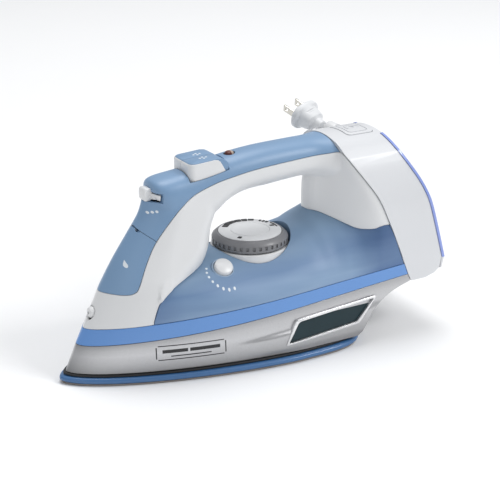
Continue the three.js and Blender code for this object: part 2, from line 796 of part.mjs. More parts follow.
function plugBlade(side) {
  return onPlug(boxAbout(side * 6.35, 0, 28.2, 1.5, 6.3, 19.6));
}

// ---- Cord reel ----------------------------------------------------------------------------
// A solid made about Z, turned so that its axis is normal to the heel, at the reel's middle.
function onReel(shape) {
  const frame = new THREE.Matrix4().makeRotationY(THREE.MathUtils.degToRad(90 - REEL.lean));
  frame.setPosition(REEL.x, 0, REEL.z);
  return shape.transform(frame.toArray());
}

function reelDrum() {
  const half = REEL.width / 2;
  const { hub, flange } = REEL;
  return onReel(
    turned([
      [3.4, -half - 1.2],
      [flange, -half - 1.2],
      [flange, -half],
      [hub, -half],
      [hub, half],
      [flange, half],
      [flange, half + 1.2],
      [hub - 2, half + 1.2],
      [hub - 2, -half + 1],
      [3.4, -half + 1],
      [3.4, -half - 1.2],
    ]),
  );
}

function cordWinding() {
  const half = REEL.width / 2 - GAP;
  return onReel(
    turned([
      [REEL.hub + GAP, -half],
      [REEL.flange - 1, -half],
      [REEL.flange - 1, half],
      [REEL.hub + GAP, half],
      [REEL.hub + GAP, -half],
    ]),
  );
}

function reelAxle() {
  const half = REEL.width / 2;
  const [foot, collar, tip] = [-half - 3.8, -half - 1.6, half + 1];
  return onReel(turned([[0, foot], [8, foot], [8, collar], [3.2, collar], [3.2, tip], [0, tip]], COARSE));
}

function reelSpring() {
  const half = REEL.width / 2;
  const [low, high] = [-half + 2, half - 4];
  return onReel(turned([[5, low], [11, low], [11, high], [5, high], [5, low]], COARSE));
}

function brushPlate() {
  const half = REEL.width / 2;
  const [low, high] = [half + 1.8, half + 3.4];
  return onReel(turned([[3.6, low], [13, low], [13, high], [3.6, high], [3.6, low]], COARSE));
}

// ---- Controls -----------------------------------------------------------------------------
function turnedAt(x, y, profile, segments) {
  return turned(profile, segments).translate([x, y, 0]);
}

function dialBase() {
  const rim = DIAL.radius + 0.6;
  const top = DIAL.ring - 1;
  return turnedAt(DIAL.x, 0, [[5, DIAL.floor], [rim, DIAL.floor], [rim, top], [5, top], [5, DIAL.floor]]);
}

function dialRing() {
  const { ring, face, radius } = DIAL;
  const profile = [
    [8, ring],
    [radius, ring],
    [radius, face - 2],
    [radius - 3, face + 0.4],
    [25.4, face + 0.4],
    [25.4, face - 1.6],
    [8, face - 1.6],
    [8, ring],
  ];
  return turnedAt(DIAL.x, 0, profile);
}

function dialFace() {
  const { face, top } = DIAL;
  const profile = [[0, face - 1.2], [25, face - 1.2], [25, face + 0.6], [22, top - 0.2], [0, top]];
  return turnedAt(DIAL.x, 0, profile);
}

function thermostatShaft() {
  return rod([DIAL.x, 0, 30], [DIAL.x, 0, DIAL.face - 2], 3.2);
}

function thermostat() {
  const can = rod([DIAL.x, 0, 17.2], [DIAL.x, 0, 24], 13);
  const bracket = box(DIAL.x - 20, DIAL.x + 20, -5, 5, 20, 23);
  const socket = rod([DIAL.x, 0, 23], [DIAL.x, 0, 29.4], 4.6);
  return join(can, bracket, socket);
}

function thermalFuse() {
  return rod([40, -12, 21.4], [40, 12, 21.4], 3.4, 12);
}

function selfCleanButton() {
  const cap = rod(...selfCleanAxis(-1.5, 4), SELF_CLEAN.radius);
  const stem = rod(...selfCleanAxis(-9, 0), 2.1, 12);
  return join(cap, stem);
}

function selfCleanSpring() {
  const outer = rod(...selfCleanAxis(-6.4, -2), 5, 16);
  return cut(outer, rod(...selfCleanAxis(-8, 0), 3.4, 16));
}

function pumpButton(side) {
  const { front, rear, half, rim, low, top, crown } = BLOCK;
  const y0 = side > 0 ? 0.25 : -half;
  const y1 = side > 0 ? half : -0.25;
  const outline = [
    [front, rim],
    [front, top - 1.4],
    [front + 1.6, top],
    [-31, crown],
    [-25.5, crown - 1.2],
    [rear, low + 5],
    [rear, rim],
  ];
  const block = sideways(outline, (y1 - y0) / 2, (y0 + y1) / 2);
  const corner = rod([front, side * half, 130], [front, side * half, 170], 3.4, 4);
  const wall = half - 1.2;
  const hollow = box(front + 1.8, rear - 1.8, -wall, wall, 130, low);
  return cut(block, corner, hollow);
}

function pumpHousing(side) {
  const y = side * PUMP.y;
  const tubeOuter = rod([PUMP.x, y, 116], [PUMP.x, y, 134], PUMP.radius);
  return cut(tubeOuter, rod([PUMP.x, y, 118], [PUMP.x, y, 150], PUMP.radius - 1.4));
}

function pumpPiston(side) {
  const y = side * PUMP.y;
  const head = rod([PUMP.x, y, 126], [PUMP.x, y, 130], PUMP.radius - 1.8);
  return join(head, rod([PUMP.x, y, 126], [PUMP.x, y, 143.3], 2));
}

function pumpSpring(side) {
  const y = side * PUMP.y;
  const outer = rod([PUMP.x, y, 134.4], [PUMP.x, y, 143.2], 4.6, 16);
  return cut(outer, rod([PUMP.x, y, 130], [PUMP.x, y, 150], 3, 16));
}

function steamLever() {
  const outline = [
    [-83.6, 128],
    [-85.6, 129.6],
    [-85.6, 135.4],
    [-84, 137.2],
    [-79.4, 137],
    [-78, 134],
    [-78, 130],
    [-80, 128],
  ];
  const knob = sideways(outline, 4.6);
  const lip = common(grip(0.6), box(-110, -76.4, -30, 30, 129.2, 133.4));
  const hub = rod([VALVE_X, 0, 129.2], [VALVE_X, 0, 133.4], 11);
  return join(knob, lip, hub);
}

function valveRod() {
  return rod([VALVE_X, 0, 33], [VALVE_X, 0, 127.4], 2.6, 12);
}

function valveSeat() {
  return cut(rod([VALVE_X, 0, 17], [VALVE_X, 0, 31], 5), rod([VALVE_X, 0, 14], [VALVE_X, 0, 40], 3));
}

function fillPort() {
  const outer = rod([-101.6, 0, 82.6], [-93, 0, 77.4], 9);
  return cut(outer, rod([-114, 0, 90], [-84, 0, 72], 7));
}

function sprayNozzle() {
  const body = rod([-130.6, 0, 50], [-121, 0, 50], 4.8, COARSE);
  return cut(body, rod([-140, 0, 50], [-127, 0, 50], 1.2, 12));
}

function sprayTube() {
  const route = [
    [-119.8, 0, 50],
    [-112, -4, 54],
    [-100, -13, 64],
    [-84, -14.5, 90],
    [-64, -10, 108],
    [-48, -8.6, 114],
  ];
  return tube(route, 3, 6, 18);
}

function indicatorLens() {
  const dome = [[0, 147], [4, 147], [4, 153], [2.4, 154.6], [0, 155]];
  return turnedAt(-13.5, 0, dome, COARSE);
}

function controlBoard() {
  return box(-20, 40, -12, 12, 143.2, 144.8);
}

function retractButton() {
  const plate = common(box(82.6, 106.4, -13.5, 13.5, 152.8, 170), housingSection(-0.6));
  return join(plate, box(90, 98, -3, 3, 148, 153));
}

function retractSpring() {
  return cut(rod([88, 8, 144.4], [88, 8, 152.4], 3.6, 12), rod([88, 8, 140], [88, 8, 160], 2.4, 12));
}

function brakePawl() {
  return sideways([[91.5, 139], [97, 141], [103.6, 116], [100, 113.6], [94, 132]], 2.5, -19);
}

function terminalBlock() {
  return box(56, 70, -14, 14, 29, 36);
}

function wireHarness() {
  return tube([[26, 0, 27], [36, 0, 30], [46, 0, 32.4], [55.4, 0, 32.6]], 5, 8, 8);
}

// ---- Assembly -----------------------------------------------------------------------------
const LOOKS = {
  blue: { color: 0x6f93c4, roughness: 0.5 },
  band: { color: 0x6b96d6, roughness: 0.35 },
  white: { color: 0xe9e9ea, roughness: 0.3 },
  pearl: { color: 0xf2f2f4, roughness: 0.22 },
  tank: { color: 0x8ba4c4, roughness: 0.15, transparent: true, opacity: 0.6 },
  rim: { color: 0x3f6ea8, roughness: 0.4 },
  sole: { color: 0x8d8680, roughness: 0.35, metalness: 0.7 },
  satin: { color: 0xb9babb, roughness: 0.3, metalness: 0.9 },
  black: { color: 0x151515, roughness: 0.7 },
  window: { color: 0x1d3037, roughness: 0.2 },
  grey: { color: 0x8f8f92, roughness: 0.5 },
  trim: { color: 0x9fa8d4, roughness: 0.3 },
  steel: { color: 0xc4c6c8, roughness: 0.3, metalness: 1 },
  brass: { color: 0xc9a24e, roughness: 0.3, metalness: 1 },
  rubber: { color: 0x9a9a9a, roughness: 0.8 },
  lens: { color: 0x7d1f22, roughness: 0.2 },
  cord: { color: 0xe6e6e6, roughness: 0.6 },
  board: { color: 0x2f6b3c, roughness: 0.6 },
};

const iron = new THREE.Group();

function add(name, manifold, look) {
  const mesh = new THREE.Mesh(geometryOf(manifold), new THREE.MeshStandardMaterial(LOOKS[look]));
  mesh.name = name;
  iron.add(mesh);
}

add("soleplate", soleplate(), "sole");
add("sole_casting", soleCasting(), "rim");
add("heating_element", heatingElement(), "steel");
add("steam_chamber_cover", chamberCover(), "steel");
add("insulating_ring", insulatingRing(), "black");
add("skirt", skirt(), "satin");
add("window_panel_near", windowPanel(-1), "window");
add("window_panel_far", windowPanel(1), "window");
add("base_tray", baseTray(), "band");
add("tank_floor", tankFloor(), "tank");
add("tank_seal", tankSeal(), "rubber");
add("water_tank", tank(), "tank");
add("handle_body", handleBody(), "white");
add("grip_cover", gripCover(), "blue");
add("fill_door", fillDoor(), "blue");
add("door_pin", hingeRod(HINGE.pin, HINGE.half + 1.6), "steel");
add("fill_port", fillPort(), "white");
add("spray_nozzle", sprayNozzle(), "white");
add("spray_tube", sprayTube(), "rubber");
for (const [name, side] of [["spray", -1], ["burst", 1]]) {
  add(`${name}_button`, pumpButton(side), "blue");
  add(`${name}_pump`, pumpHousing(side), "white");
  add(`${name}_piston`, pumpPiston(side), "white");
  add(`${name}_spring`, pumpSpring(side), "steel");
}
add("steam_lever", steamLever(), "white");
add("valve_rod", valveRod(), "steel");
add("valve_seat", valveSeat(), "brass");
add("dial_base", dialBase(), "white");
add("dial_ring", dialRing(), "grey");
add("dial_face", dialFace(), "white");
add("thermostat_shaft", thermostatShaft(), "steel");
add("thermostat", thermostat(), "steel");
add("thermal_fuse", thermalFuse(), "white");
add("self_clean_button", selfCleanButton(), "white");
add("self_clean_spring", selfCleanSpring(), "steel");
add("indicator_lens", indicatorLens(), "lens");
add("control_board", controlBoard(), "board");
add("wire_harness", wireHarness(), "rubber");
add("terminal_block", terminalBlock(), "white");
add("rear_housing", rearHousing(), "pearl");
add("trim_ring", trimRing(), "trim");
add("heel_cover", heelCover(), "pearl");
HEEL_SCREWS.forEach(([y, z], i) => add(`heel_screw_${i + 1}`, heelScrew(y, z), "steel"));
add("retract_button", retractButton(), "pearl");
add("retract_spring", retractSpring(), "steel");
add("brake_pawl", brakePawl(), "white");
add("reel_drum", reelDrum(), "white");
add("reel_axle", reelAxle(), "steel");
add("reel_spring", reelSpring(), "steel");
add("brush_plate", brushPlate(), "brass");
add("cord_winding", cordWinding(), "cord");
add("cord_lead", cordLead(), "cord");
add("cord_guide", cordGuide(), "white");
add("plug_body", plugBody(), "white");
add("plug_blade_1", plugBlade(-1), "brass");
add("plug_blade_2", plugBlade(1), "brass");

export default iron;
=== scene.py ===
# Looks of the clothes iron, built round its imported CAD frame.
# Shape code works in millimetres: +X to the heel, +Z up, the near side at -Y.
import math

import bmesh
import bpy
from mathutils import Matrix, Vector


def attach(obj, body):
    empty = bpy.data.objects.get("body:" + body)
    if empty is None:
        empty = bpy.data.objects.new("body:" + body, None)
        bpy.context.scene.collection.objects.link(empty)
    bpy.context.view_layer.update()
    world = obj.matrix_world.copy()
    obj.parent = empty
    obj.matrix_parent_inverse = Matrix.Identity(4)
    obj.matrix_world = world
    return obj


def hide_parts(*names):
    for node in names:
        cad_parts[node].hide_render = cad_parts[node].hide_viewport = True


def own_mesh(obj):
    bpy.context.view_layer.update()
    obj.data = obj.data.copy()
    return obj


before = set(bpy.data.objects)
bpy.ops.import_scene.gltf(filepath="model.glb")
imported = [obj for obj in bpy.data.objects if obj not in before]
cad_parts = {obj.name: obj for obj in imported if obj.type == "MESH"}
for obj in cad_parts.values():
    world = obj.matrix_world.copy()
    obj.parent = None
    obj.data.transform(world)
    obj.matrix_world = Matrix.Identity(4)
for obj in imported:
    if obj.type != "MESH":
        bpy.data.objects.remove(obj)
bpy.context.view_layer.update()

MM = 0.001
NOSE = -155
SOLE_END = 82
SOLE_HALF = 60
BODY_HALF = 51
FULL_WIDTH_X = 25  # from here to the heel the body has its full width
WALL = 2.2  # thickness of the shells
GAP = 0.35  # joint line between two shells
SKIRT_BOTTOM = 8.3
DIAL = {"x": 4, "seat": 70, "ring": 80.2, "face": 88.6, "radius": 29.2}
BUTTON = {"x": -33.5, "y": -25.5, "z": 74, "tilt": math.radians(34), "radius": 7.1}
BLOCK = {"front": -53.5, "rear": -21.5, "half": 14.6, "low": 139.3, "top": 152.8}
PUMP = {"x": -42, "y": 8.6}
LAMP_X = -13.5
VALVE_X = -70
NOZZLE = {"x": -121, "z": 50}
DOT = 0.9  # radius of a printed dot
RETRACT = {"x": 94.5, "half_length": 12.1, "half_width": 13.6}
REEL = {"x": 123.6, "z": 86, "hub": 14, "width": 26, "lean": math.radians(19)}
CORD_DIAMETER = 6.2
TOP = 157  # top of the rear housing
SHARP_EDGE = math.radians(32)  # edges sharper than this are shaded as edges


# ---- Camera, floor and light ----
def add_object(name, data):
    made = bpy.data.objects.new(name, data)
    bpy.context.scene.collection.objects.link(made)
    return made


def aim(thing, target):
    thing.rotation_euler = (Vector(target) - thing.location).to_track_quat("-Z", "Y").to_euler()


def add_camera():
    camera = add_object("camera", bpy.data.cameras.new("camera"))
    camera.location = (-0.4403, -0.7697, 0.4139)
    aim(camera, (0.0032, -0.0017, 0.0734))
    camera.data.sensor_width = 36
    camera.data.lens = 89.6
    bpy.context.scene.camera = camera


def add_area(name, place, target, size, power):
    light = bpy.data.lights.new(name, "AREA")
    light.shape = "DISK"
    light.size = size
    light.energy = power
    lamp = add_object(name, light)
    lamp.location = place
    aim(lamp, target)


def add_studio():
    middle = (0, 0, 0.08)
    add_area("key", (1.35, -1.25, 1.75), middle, 0.9, 24)
    add_area("side", (-1.2, -0.7, 0.6), middle, 0.5, 0.8)
    add_area("top", (0.4, 0.8, 3), middle, 1.8, 46)
    world = bpy.data.worlds.new("studio")
    world.use_nodes = True
    background = world.node_tree.nodes["Background"]
    background.inputs["Color"].default_value = (0.95, 0.97, 1.0, 1)
    background.inputs["Strength"].default_value = 0.5
    bpy.context.scene.world = world
    bpy.context.scene.view_settings.view_transform = "Standard"
    floor_mesh = bpy.data.meshes.new("floor")
    reach = 3
    corners = [(-reach, -reach, 0), (reach, -reach, 0), (reach, reach, 0), (-reach, reach, 0)]
    floor_mesh.from_pydata(corners, [], [(0, 1, 2, 3)])
    floor = add_object("floor", floor_mesh)
    plain("floor", (0.93, 0.93, 0.93), 0.8, vary=0.002, grain=0.01, grain_size=400)
    floor.data.materials.append(looks["floor"])


# ---- Materials ----
looks = {}


class Shader:
    """A principled material, kept in looks under its name, with short ways to build it."""

    def __init__(self, name):
        looks[name] = bpy.data.materials.new(name)
        looks[name].use_nodes = True
        self.tree = looks[name].node_tree
        self.bsdf = self.tree.nodes["Principled BSDF"]
        self.place = self.node("TexCoord").outputs["Object"]

    def put(self, socket, value):
        """Sets a socket to a value, or feeds it from another socket."""
        if isinstance(value, bpy.types.NodeSocket):
            self.tree.links.new(value, socket)
        else:
            socket.default_value = value

    def fill(self, node, inputs):
        for name, value in inputs.items():
            self.put(node.inputs[name.replace("_", " ")], value)

    def node(self, kind, **inputs):
        made = self.tree.nodes.new("ShaderNode" + kind)
        self.fill(made, inputs)
        return made

    def set(self, **inputs):
        """Fills the sockets of the principled shader itself."""
        self.fill(self.bsdf, inputs)

    def noise(self, scale, detail=3.0, stretch=None):
        source = self.place
        if stretch:
            source = self.node("Mapping", Vector=source, Scale=stretch).outputs["Vector"]
        return self.node("TexNoise", Vector=source, Scale=scale, Detail=detail).outputs["Fac"]

    def ramp(self, source, stops):
        node = self.node("ValToRGB", Fac=source)
        elements = node.color_ramp.elements
        while len(elements) < len(stops):
            elements.new(0.5)
        for element, (place, colour) in zip(elements, stops):
            element.position = place
            element.color = (*colour, 1)
        return node.outputs["Color"]

    def math(self, operation, first, second):
        node = self.node("Math")
        node.operation = operation
        self.put(node.inputs[0], first)
        self.put(node.inputs[1], second)
        return node.outputs["Value"]

    def multiplied(self, first, second):
        node = self.node("Mix")
        node.data_type = "RGBA"
        node.blend_type = "MULTIPLY"
        node.inputs["Factor"].default_value = 1
        colours = [socket for socket in node.inputs if socket.type == "RGBA"]
        self.put(colours[0], first)
        self.put(colours[1], second)
        return next(socket for socket in node.outputs if socket.type == "RGBA")

    def spread(self, source, low, high):
        return self.node("MapRange", Value=source, To_Min=low, To_Max=high).outputs["Result"]

    def bump(self, height, strength, radius=0.0):
        """A fine relief, with the edges rounded off by a radius."""
        node = self.node("Bump", Strength=strength, Distance=0.0002, Height=height)
        if radius:
            edge = self.node("Bevel", Radius=radius)
            edge.samples = 6
            self.put(node.inputs["Normal"], edge.outputs["Normal"])
        self.set(Normal=node.outputs["Normal"])


def shade(colour, factor):
    return tuple(min(channel * factor, 1) for channel in colour)


def drifting(look, colour, vary, low=0.3, high=0.7, scale=9):
    """A colour that varies a little from place to place."""
    return look.ramp(look.noise(scale, 2), [(low, shade(colour, 1 - vary)), (high, shade(colour, 1 + vary))])


def plain(
    name, colour, roughness, vary=0.05, edge=0.0, coat=0.0, gloss=0.12, metal=0.0, grain=0.06, grain_size=900
):
    """Moulded plastic or metal: slow colour drift, uneven gloss, fine grain and softened edges."""
    look = Shader(name)
    uneven = look.spread(look.noise(60), roughness - 0.05, roughness + 0.05)
    look.set(Base_Color=drifting(look, colour, vary), Roughness=uneven, Metallic=metal)
    look.set(Coat_Weight=coat, Coat_Roughness=gloss)
    look.bump(look.noise(grain_size, 2), grain, radius=edge)


# ---- Mesh tools ----
def mesh_object(points, faces):
    """A mesh from points in millimetres, its doubles welded and its faces turned outwards."""
    data = bpy.data.meshes.new("loft")
    data.from_pydata([[value * MM for value in point] for point in points], [], faces)
    work = bmesh.new()
    work.from_mesh(data)
    bmesh.ops.remove_doubles(work, verts=work.verts, dist=1e-6)
    bmesh.ops.dissolve_degenerate(work, edges=work.edges, dist=1e-7)
    bmesh.ops.recalc_face_normals(work, faces=work.faces)
    work.to_mesh(data)
    work.free()
    return add_object("loft", data)


def loft(rings):
    """A closed skin through rings of equal length."""
    count = len(rings[0])
    points = [point for ring in rings for point in ring]
    faces = [list(range(count)), list(range((len(rings) - 1) * count, len(rings) * count))]
    for i in range(len(rings) - 1):
        for j in range(count):
            a = i * count + j
            b = i * count + (j + 1) % count
            faces.append((a, b, b + count, a + count))
    return mesh_object(points, faces)


def sideways(outline, half=80, middle=0):
    """A side outline of (x, z) points, given its width along Y."""
    near = [(x, middle - half, z) for x, z in outline]
    far = [(x, middle + half, z) for x, z in outline]
    return loft([near, far])


def upright(outline, low, high):
    """A plan outline of (x, y) points, given its height."""
    return loft([[(x, y, low) for x, y in outline], [(x, y, high) for x, y in outline]])


def box(x0, x1, y0, y1, z0, z1):
    return upright([(x0, y0), (x1, y0), (x1, y1), (x0, y1)], z0, z1)


def circle(radius, height, count):
    turn = 2 * math.pi / count
    return [(radius * math.cos(i * turn), radius * math.sin(i * turn), height) for i in range(count)]


def turned(profile, count):
    """A turned solid about Z from (radius, height) points, from the axis out and back to it."""
    return loft([circle(max(radius, 0.01), height, count) for radius, height in profile])


def placed(piece, matrix):
    """Moves the mesh itself, so that its object stays at the origin. The matrix is in millimetres."""
    matrix = matrix.copy()
    matrix.translation *= MM
    piece.data.transform(matrix)
    return piece


def along(start, end):
    """The frame whose Z runs from one point to another."""
    start, end = Vector(start), Vector(end)
    turn = (end - start).to_track_quat("Z", "Y").to_matrix().to_4x4()
    return Matrix.Translation(start) @ turn


def rod(start, end, radius, count=48):
    length = (Vector(end) - Vector(start)).length
    return placed(loft([circle(radius, 0, count), circle(radius, length, count)]), along(start, end))


def post(x, y, low, high, radius, count=48):
    return rod((x, y, low), (x, y, high), radius, count)


def apply_modifiers(piece):
    graph = bpy.context.evaluated_depsgraph_get()
    data = bpy.data.meshes.new_from_object(piece.evaluated_get(graph))
    piece.modifiers.clear()
    piece.data = data
    return piece


def boolean(piece, operation, tools):
    for tool in tools:
        modifier = piece.modifiers.new(operation, "BOOLEAN")
        modifier.operation = operation
        modifier.solver = "MANIFOLD"
        modifier.object = tool
        apply_modifiers(piece)
        bpy.data.objects.remove(tool)
    return piece


def cut(piece, *tools):
    return boolean(piece, "DIFFERENCE", tools)


def common(piece, *tools):
    return boolean(piece, "INTERSECT", tools)


def join(piece, *tools):
    return boolean(piece, "UNION", tools)


def copy(piece):
    return add_object(piece.name, piece.data.copy())


def melted(piece, voxel, rounds):
    """Blends the pieces of a union into one skin, with its inner corners softened."""
    remesh = piece.modifiers.new("remesh", "REMESH")
    remesh.mode = "VOXEL"
    remesh.voxel_size = voxel * MM
    apply_modifiers(piece)
    smooth = piece.modifiers.new("smooth", "SMOOTH")
    smooth.factor = 0.5
    smooth.iterations = rounds
    return apply_modifiers(piece)


def bevelled(piece, width, segments=3, angle=35):
    bevel = piece.modifiers.new("bevel", "BEVEL")
    bevel.width = width * MM
    bevel.segments = segments
    bevel.limit_method = "ANGLE"
    bevel.angle_limit = math.radians(angle)
    return apply_modifiers(piece)


def printed(piece, area, name, look, body="iron"):
    """A mark on a piece's skin: the part of the skin inside an area, a hair proud of it."""
    mark = copy(piece)
    lift = mark.modifiers.new("lift", "DISPLACE")
    lift.mid_level = 0
    lift.strength = 0.08 * MM
    apply_modifiers(mark)
    finished(common(mark, area), name, look, body=body)


def finished(piece, name, look, nodes=(), body="iron"):
    """Names a piece, gives it its look and smooth shading, and rides it on its body."""
    piece.name = name
    piece.data.name = name
    piece.data.materials.clear()
    piece.data.materials.append(looks[look])
    for polygon in piece.data.polygons:
        polygon.use_smooth = True
        polygon.material_index = 0
    piece.data.set_sharp_from_angle(angle=SHARP_EDGE)
    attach(piece, body)
    if nodes:
        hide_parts(*nodes)
    return piece


def steps(low, high, count):
    return [low + (high - low) * i / count for i in range(count + 1)]


def between(stations):
    """A smooth value between (place, value) stations in rising order."""
    last = len(stations) - 1

    def slope(i):
        before, after = stations[max(i - 1, 0)], stations[min(i + 1, last)]
        return (after[1] - before[1]) / (after[0] - before[0])

    def value(place):
        if place <= stations[0][0]:
            return stations[0][1]
        if place >= stations[last][0]:
            return stations[last][1]
        i = max(k for k in range(last) if stations[k][0] <= place)
        (x0, y0), (x1, y1) = stations[i], stations[i + 1]
        t = (place - x0) / (x1 - x0)
        a = slope(i) * (x1 - x0) - (y1 - y0)
        b = (y1 - y0) - slope(i + 1) * (x1 - x0)
        return y0 + t * (y1 - y0) + t * (1 - t) * (a * (1 - t) + b * t)

    return value


def curve_through(points, per):
    """Given points joined by a smooth curve, with this many steps from point to point."""
    ends = [points[0], *points, points[-1]]
    line = []
    for i in range(1, len(ends) - 2):
        p0, p1, p2, p3 = (Vector(ends[i + k]) for k in (-1, 0, 1, 2))
        for step in range(per):
            t = step / per
            square = (2 * p0 - 5 * p1 + 4 * p2 - p3) * t**2
            cube = (3 * p1 - p0 - 3 * p2 + p3) * t**3
            line.append(0.5 * (2 * p1 + (p2 - p0) * t + square + cube))
    line.append(Vector(points[-1]))
    return [tuple(point) for point in line]


def superellipse(half_x, half_y, square, turn):
    """A point on a rounded rectangle: an ellipse at a square of 2, and squarer above it."""
    c, s = math.cos(turn), math.sin(turn)
    power = 2 / square
    return half_x * math.copysign(abs(c) ** power, c), half_y * math.copysign(abs(s) ** power, s)


def bend(before, corner, after, run, parts):
    """A corner rounded off, from a run before it to a run after it."""
    before, corner, after = Vector(before), Vector(corner), Vector(after)
    start = corner + (before - corner).normalized() * run
    end = corner + (after - corner).normalized() * run
    line = [start * (1 - t) ** 2 + corner * 2 * t * (1 - t) + end * t * t for t in steps(0, 1, parts)]
    return [tuple(point) for point in line]


# ---- Outlines shared by the shells ----
def oval(front, rear, half, front_run, rear_run, z, p=1.6, q=1.5, square=2.0, count=26):
    """A pointed oval at height z: a nose, straight flanks and a rounded rear."""
    side = []
    for k in steps(0, math.pi / 2, count):
        reach = 1 - max(math.cos(k), 0) ** (2 / p)
        side.append((front + front_run * reach, half * math.sin(k) ** (2 / q)))
    for k in reversed(steps(0, math.pi / 2, count)):
        reach = 1 - max(math.cos(k), 0) ** (2 / square)
        side.append((rear - rear_run * reach, half * math.sin(k) ** (2 / square)))
    near = [(x, -y) for x, y in reversed(side[1:-1])]
    return [(x, y, z) for x, y in side + near]


def sole_ring(inset, z):
    front, rear, half = NOSE + inset, SOLE_END - inset, SOLE_HALF - inset
    return oval(front, rear, half, 171 - inset, 66 - inset, z, p=1.48, q=1.6, square=4, count=40)


nose_x = between([(0, -154), (8.3, -150), (27.7, -141), (38.7, -135.5), (66, -122), (80, -114.8)])
flank_at = between([(6, 56.5), (20, 54), (40, BODY_HALF), (80, BODY_HALF)])


def band_bottom(x):
    return 27.7 + 20.2 * max((x + 141) / 259, 0) ** 0.85


def band_top(x):
    return 38.7 + 18 * max((x + 135.3) / 247, 0) ** 0.7


def lower_casing(inset, relief=None):
    """The casing below the tank and the housing, with an optional relief on its flanks."""
    rings = []
    for z in steps(5, 62, 57 if relief else 24):
        front = nose_x(z) + inset * 1.4
        half = flank_at(z) - inset
        p = 1.5 + 0.7 * (min(max(z, 8), 40) - 8) / 32
        ring = oval(front, 175, half, FULL_WIDTH_X - front, 4, z, p=p, q=1.6, square=8, count=44)
        if relief:
            ring = [(x, y + math.copysign(relief(x, z), y), z) for x, y, z in with_flanks(ring)]
        rings.append(ring)
    return loft(rings)


def with_flanks(ring):
    """The ring with its long straight flanks divided, so that a relief can bend them."""
    dense = []
    for i, point in enumerate(ring):
        after = ring[(i + 1) % len(ring)]
        gap = abs(after[0] - point[0])
        parts = 60 if gap > 100 else 1
        for k in range(parts):
            t = k / parts
            dense.append(tuple(a + (b - a) * t for a, b in zip(point, after)))
    return dense


def strip(low, high, start, end):
    """The volume between two lines that run along the object."""
    line = steps(start, end, 40)
    return sideways([(x, low(x)) for x in line] + [(x, high(x)) for x in reversed(line)])


FRONT_EDGE = [
    (121, 40), (112.3, 60.8), (98.1, 95.3), (89.9, 113.5), (81.7, 126.3), (72.4, 140.1),
    (68.2, 148.6), (66.5, 160),
]


def housing_front(offset):
    """The front edge of the rear housing, moved forwards by an offset."""
    return [(x - offset, z) for x, z in curve_through(FRONT_EDGE, 5)]


def in_front_of_housing():
    return sideways([*housing_front(GAP), (-200, 160), (-200, 0), (FRONT_EDGE[0][0] - GAP, 0)])


# ---- Cord and plug ----
LEAD_ROUTE = [
    (100.6, -12, 122.4), (100.2, -2, 124), (99, 6, 129.5), (97.6, 11, 137), (96.4, 15.4, 143.4),
    (95, 21, 147.6), (93.5, 27, 149.4), (91.9, 32, 149.6),
]
PLUG_TAIL = Vector((91.2, 34.1, 149.7))
PLUG_AXIS = Vector((-0.267, 0.911, 0.322)).normalized()
BLADE_AXIS = Vector((0.951, 0.194, 0.234)).normalized()
BLADE_X = 6.35


def add_cord(name, node, body, points, start, **facts):
    """A round cord along points. Its start and the other facts given about it are not used."""
    data = bpy.data.curves.new(name, "CURVE")
    data.dimensions = "3D"
    data.bevel_depth = CORD_DIAMETER / 2 * MM
    data.bevel_resolution = 5
    data.use_fill_caps = True
    spline = data.splines.new("POLY")
    spline.points.add(len(points) - 1)
    for spot, point in zip(spline.points, points):
        spot.co = (*[value * MM for value in point], 1)
    data.materials.append(looks["cord_jacket"])
    cord = add_object(name, data)
    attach(cord, body)
    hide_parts(node)
    leaves_at = tuple(value * MM for value in start)
    length_of(points)


def length_of(points):
    return sum((Vector(b) - Vector(a)).length for a, b in zip(points, points[1:])) * MM


def on_reel(points):
    """Points given about the reel's axis, moved to its place in the housing."""
    turn = Matrix.Rotation(math.pi / 2 - REEL["lean"], 4, "Y")
    matrix = Matrix.Translation((REEL["x"], 0, REEL["z"])) @ turn
    return [tuple(matrix @ Vector(point)) for point in points]


def winding_route():
    """Four layers of the lead on the drum, each wound back over the one before."""
    points = []
    per_turn = 36
    layers = 4
    room = REEL["width"] - CORD_DIAMETER - 0.8
    turns = room / CORD_DIAMETER
    pitch = 5.45
    first = REEL["hub"] + CORD_DIAMETER / 2 + 0.2
    total = int(layers * turns * per_turn)
    for i in range(total + 1):
        travelled = i / per_turn / turns
        layer = min(int(travelled), layers - 1)
        share = travelled - layer
        sideways_share = share if layer % 2 == 0 else 1 - share
        radius = first + pitch * (layer + max(0.0, (share - 0.8) / 0.2) * (layer < layers - 1))
        angle = 2 * math.pi * i / per_turn
        height = room * (sideways_share - 0.5)
        points.append((radius * math.cos(angle), radius * math.sin(angle), height))
    return on_reel(points)


def plug_matrix():
    across = PLUG_AXIS.cross(BLADE_AXIS)
    turn = Matrix((BLADE_AXIS, across, PLUG_AXIS)).transposed().to_4x4()
    return Matrix.Translation(PLUG_TAIL) @ turn


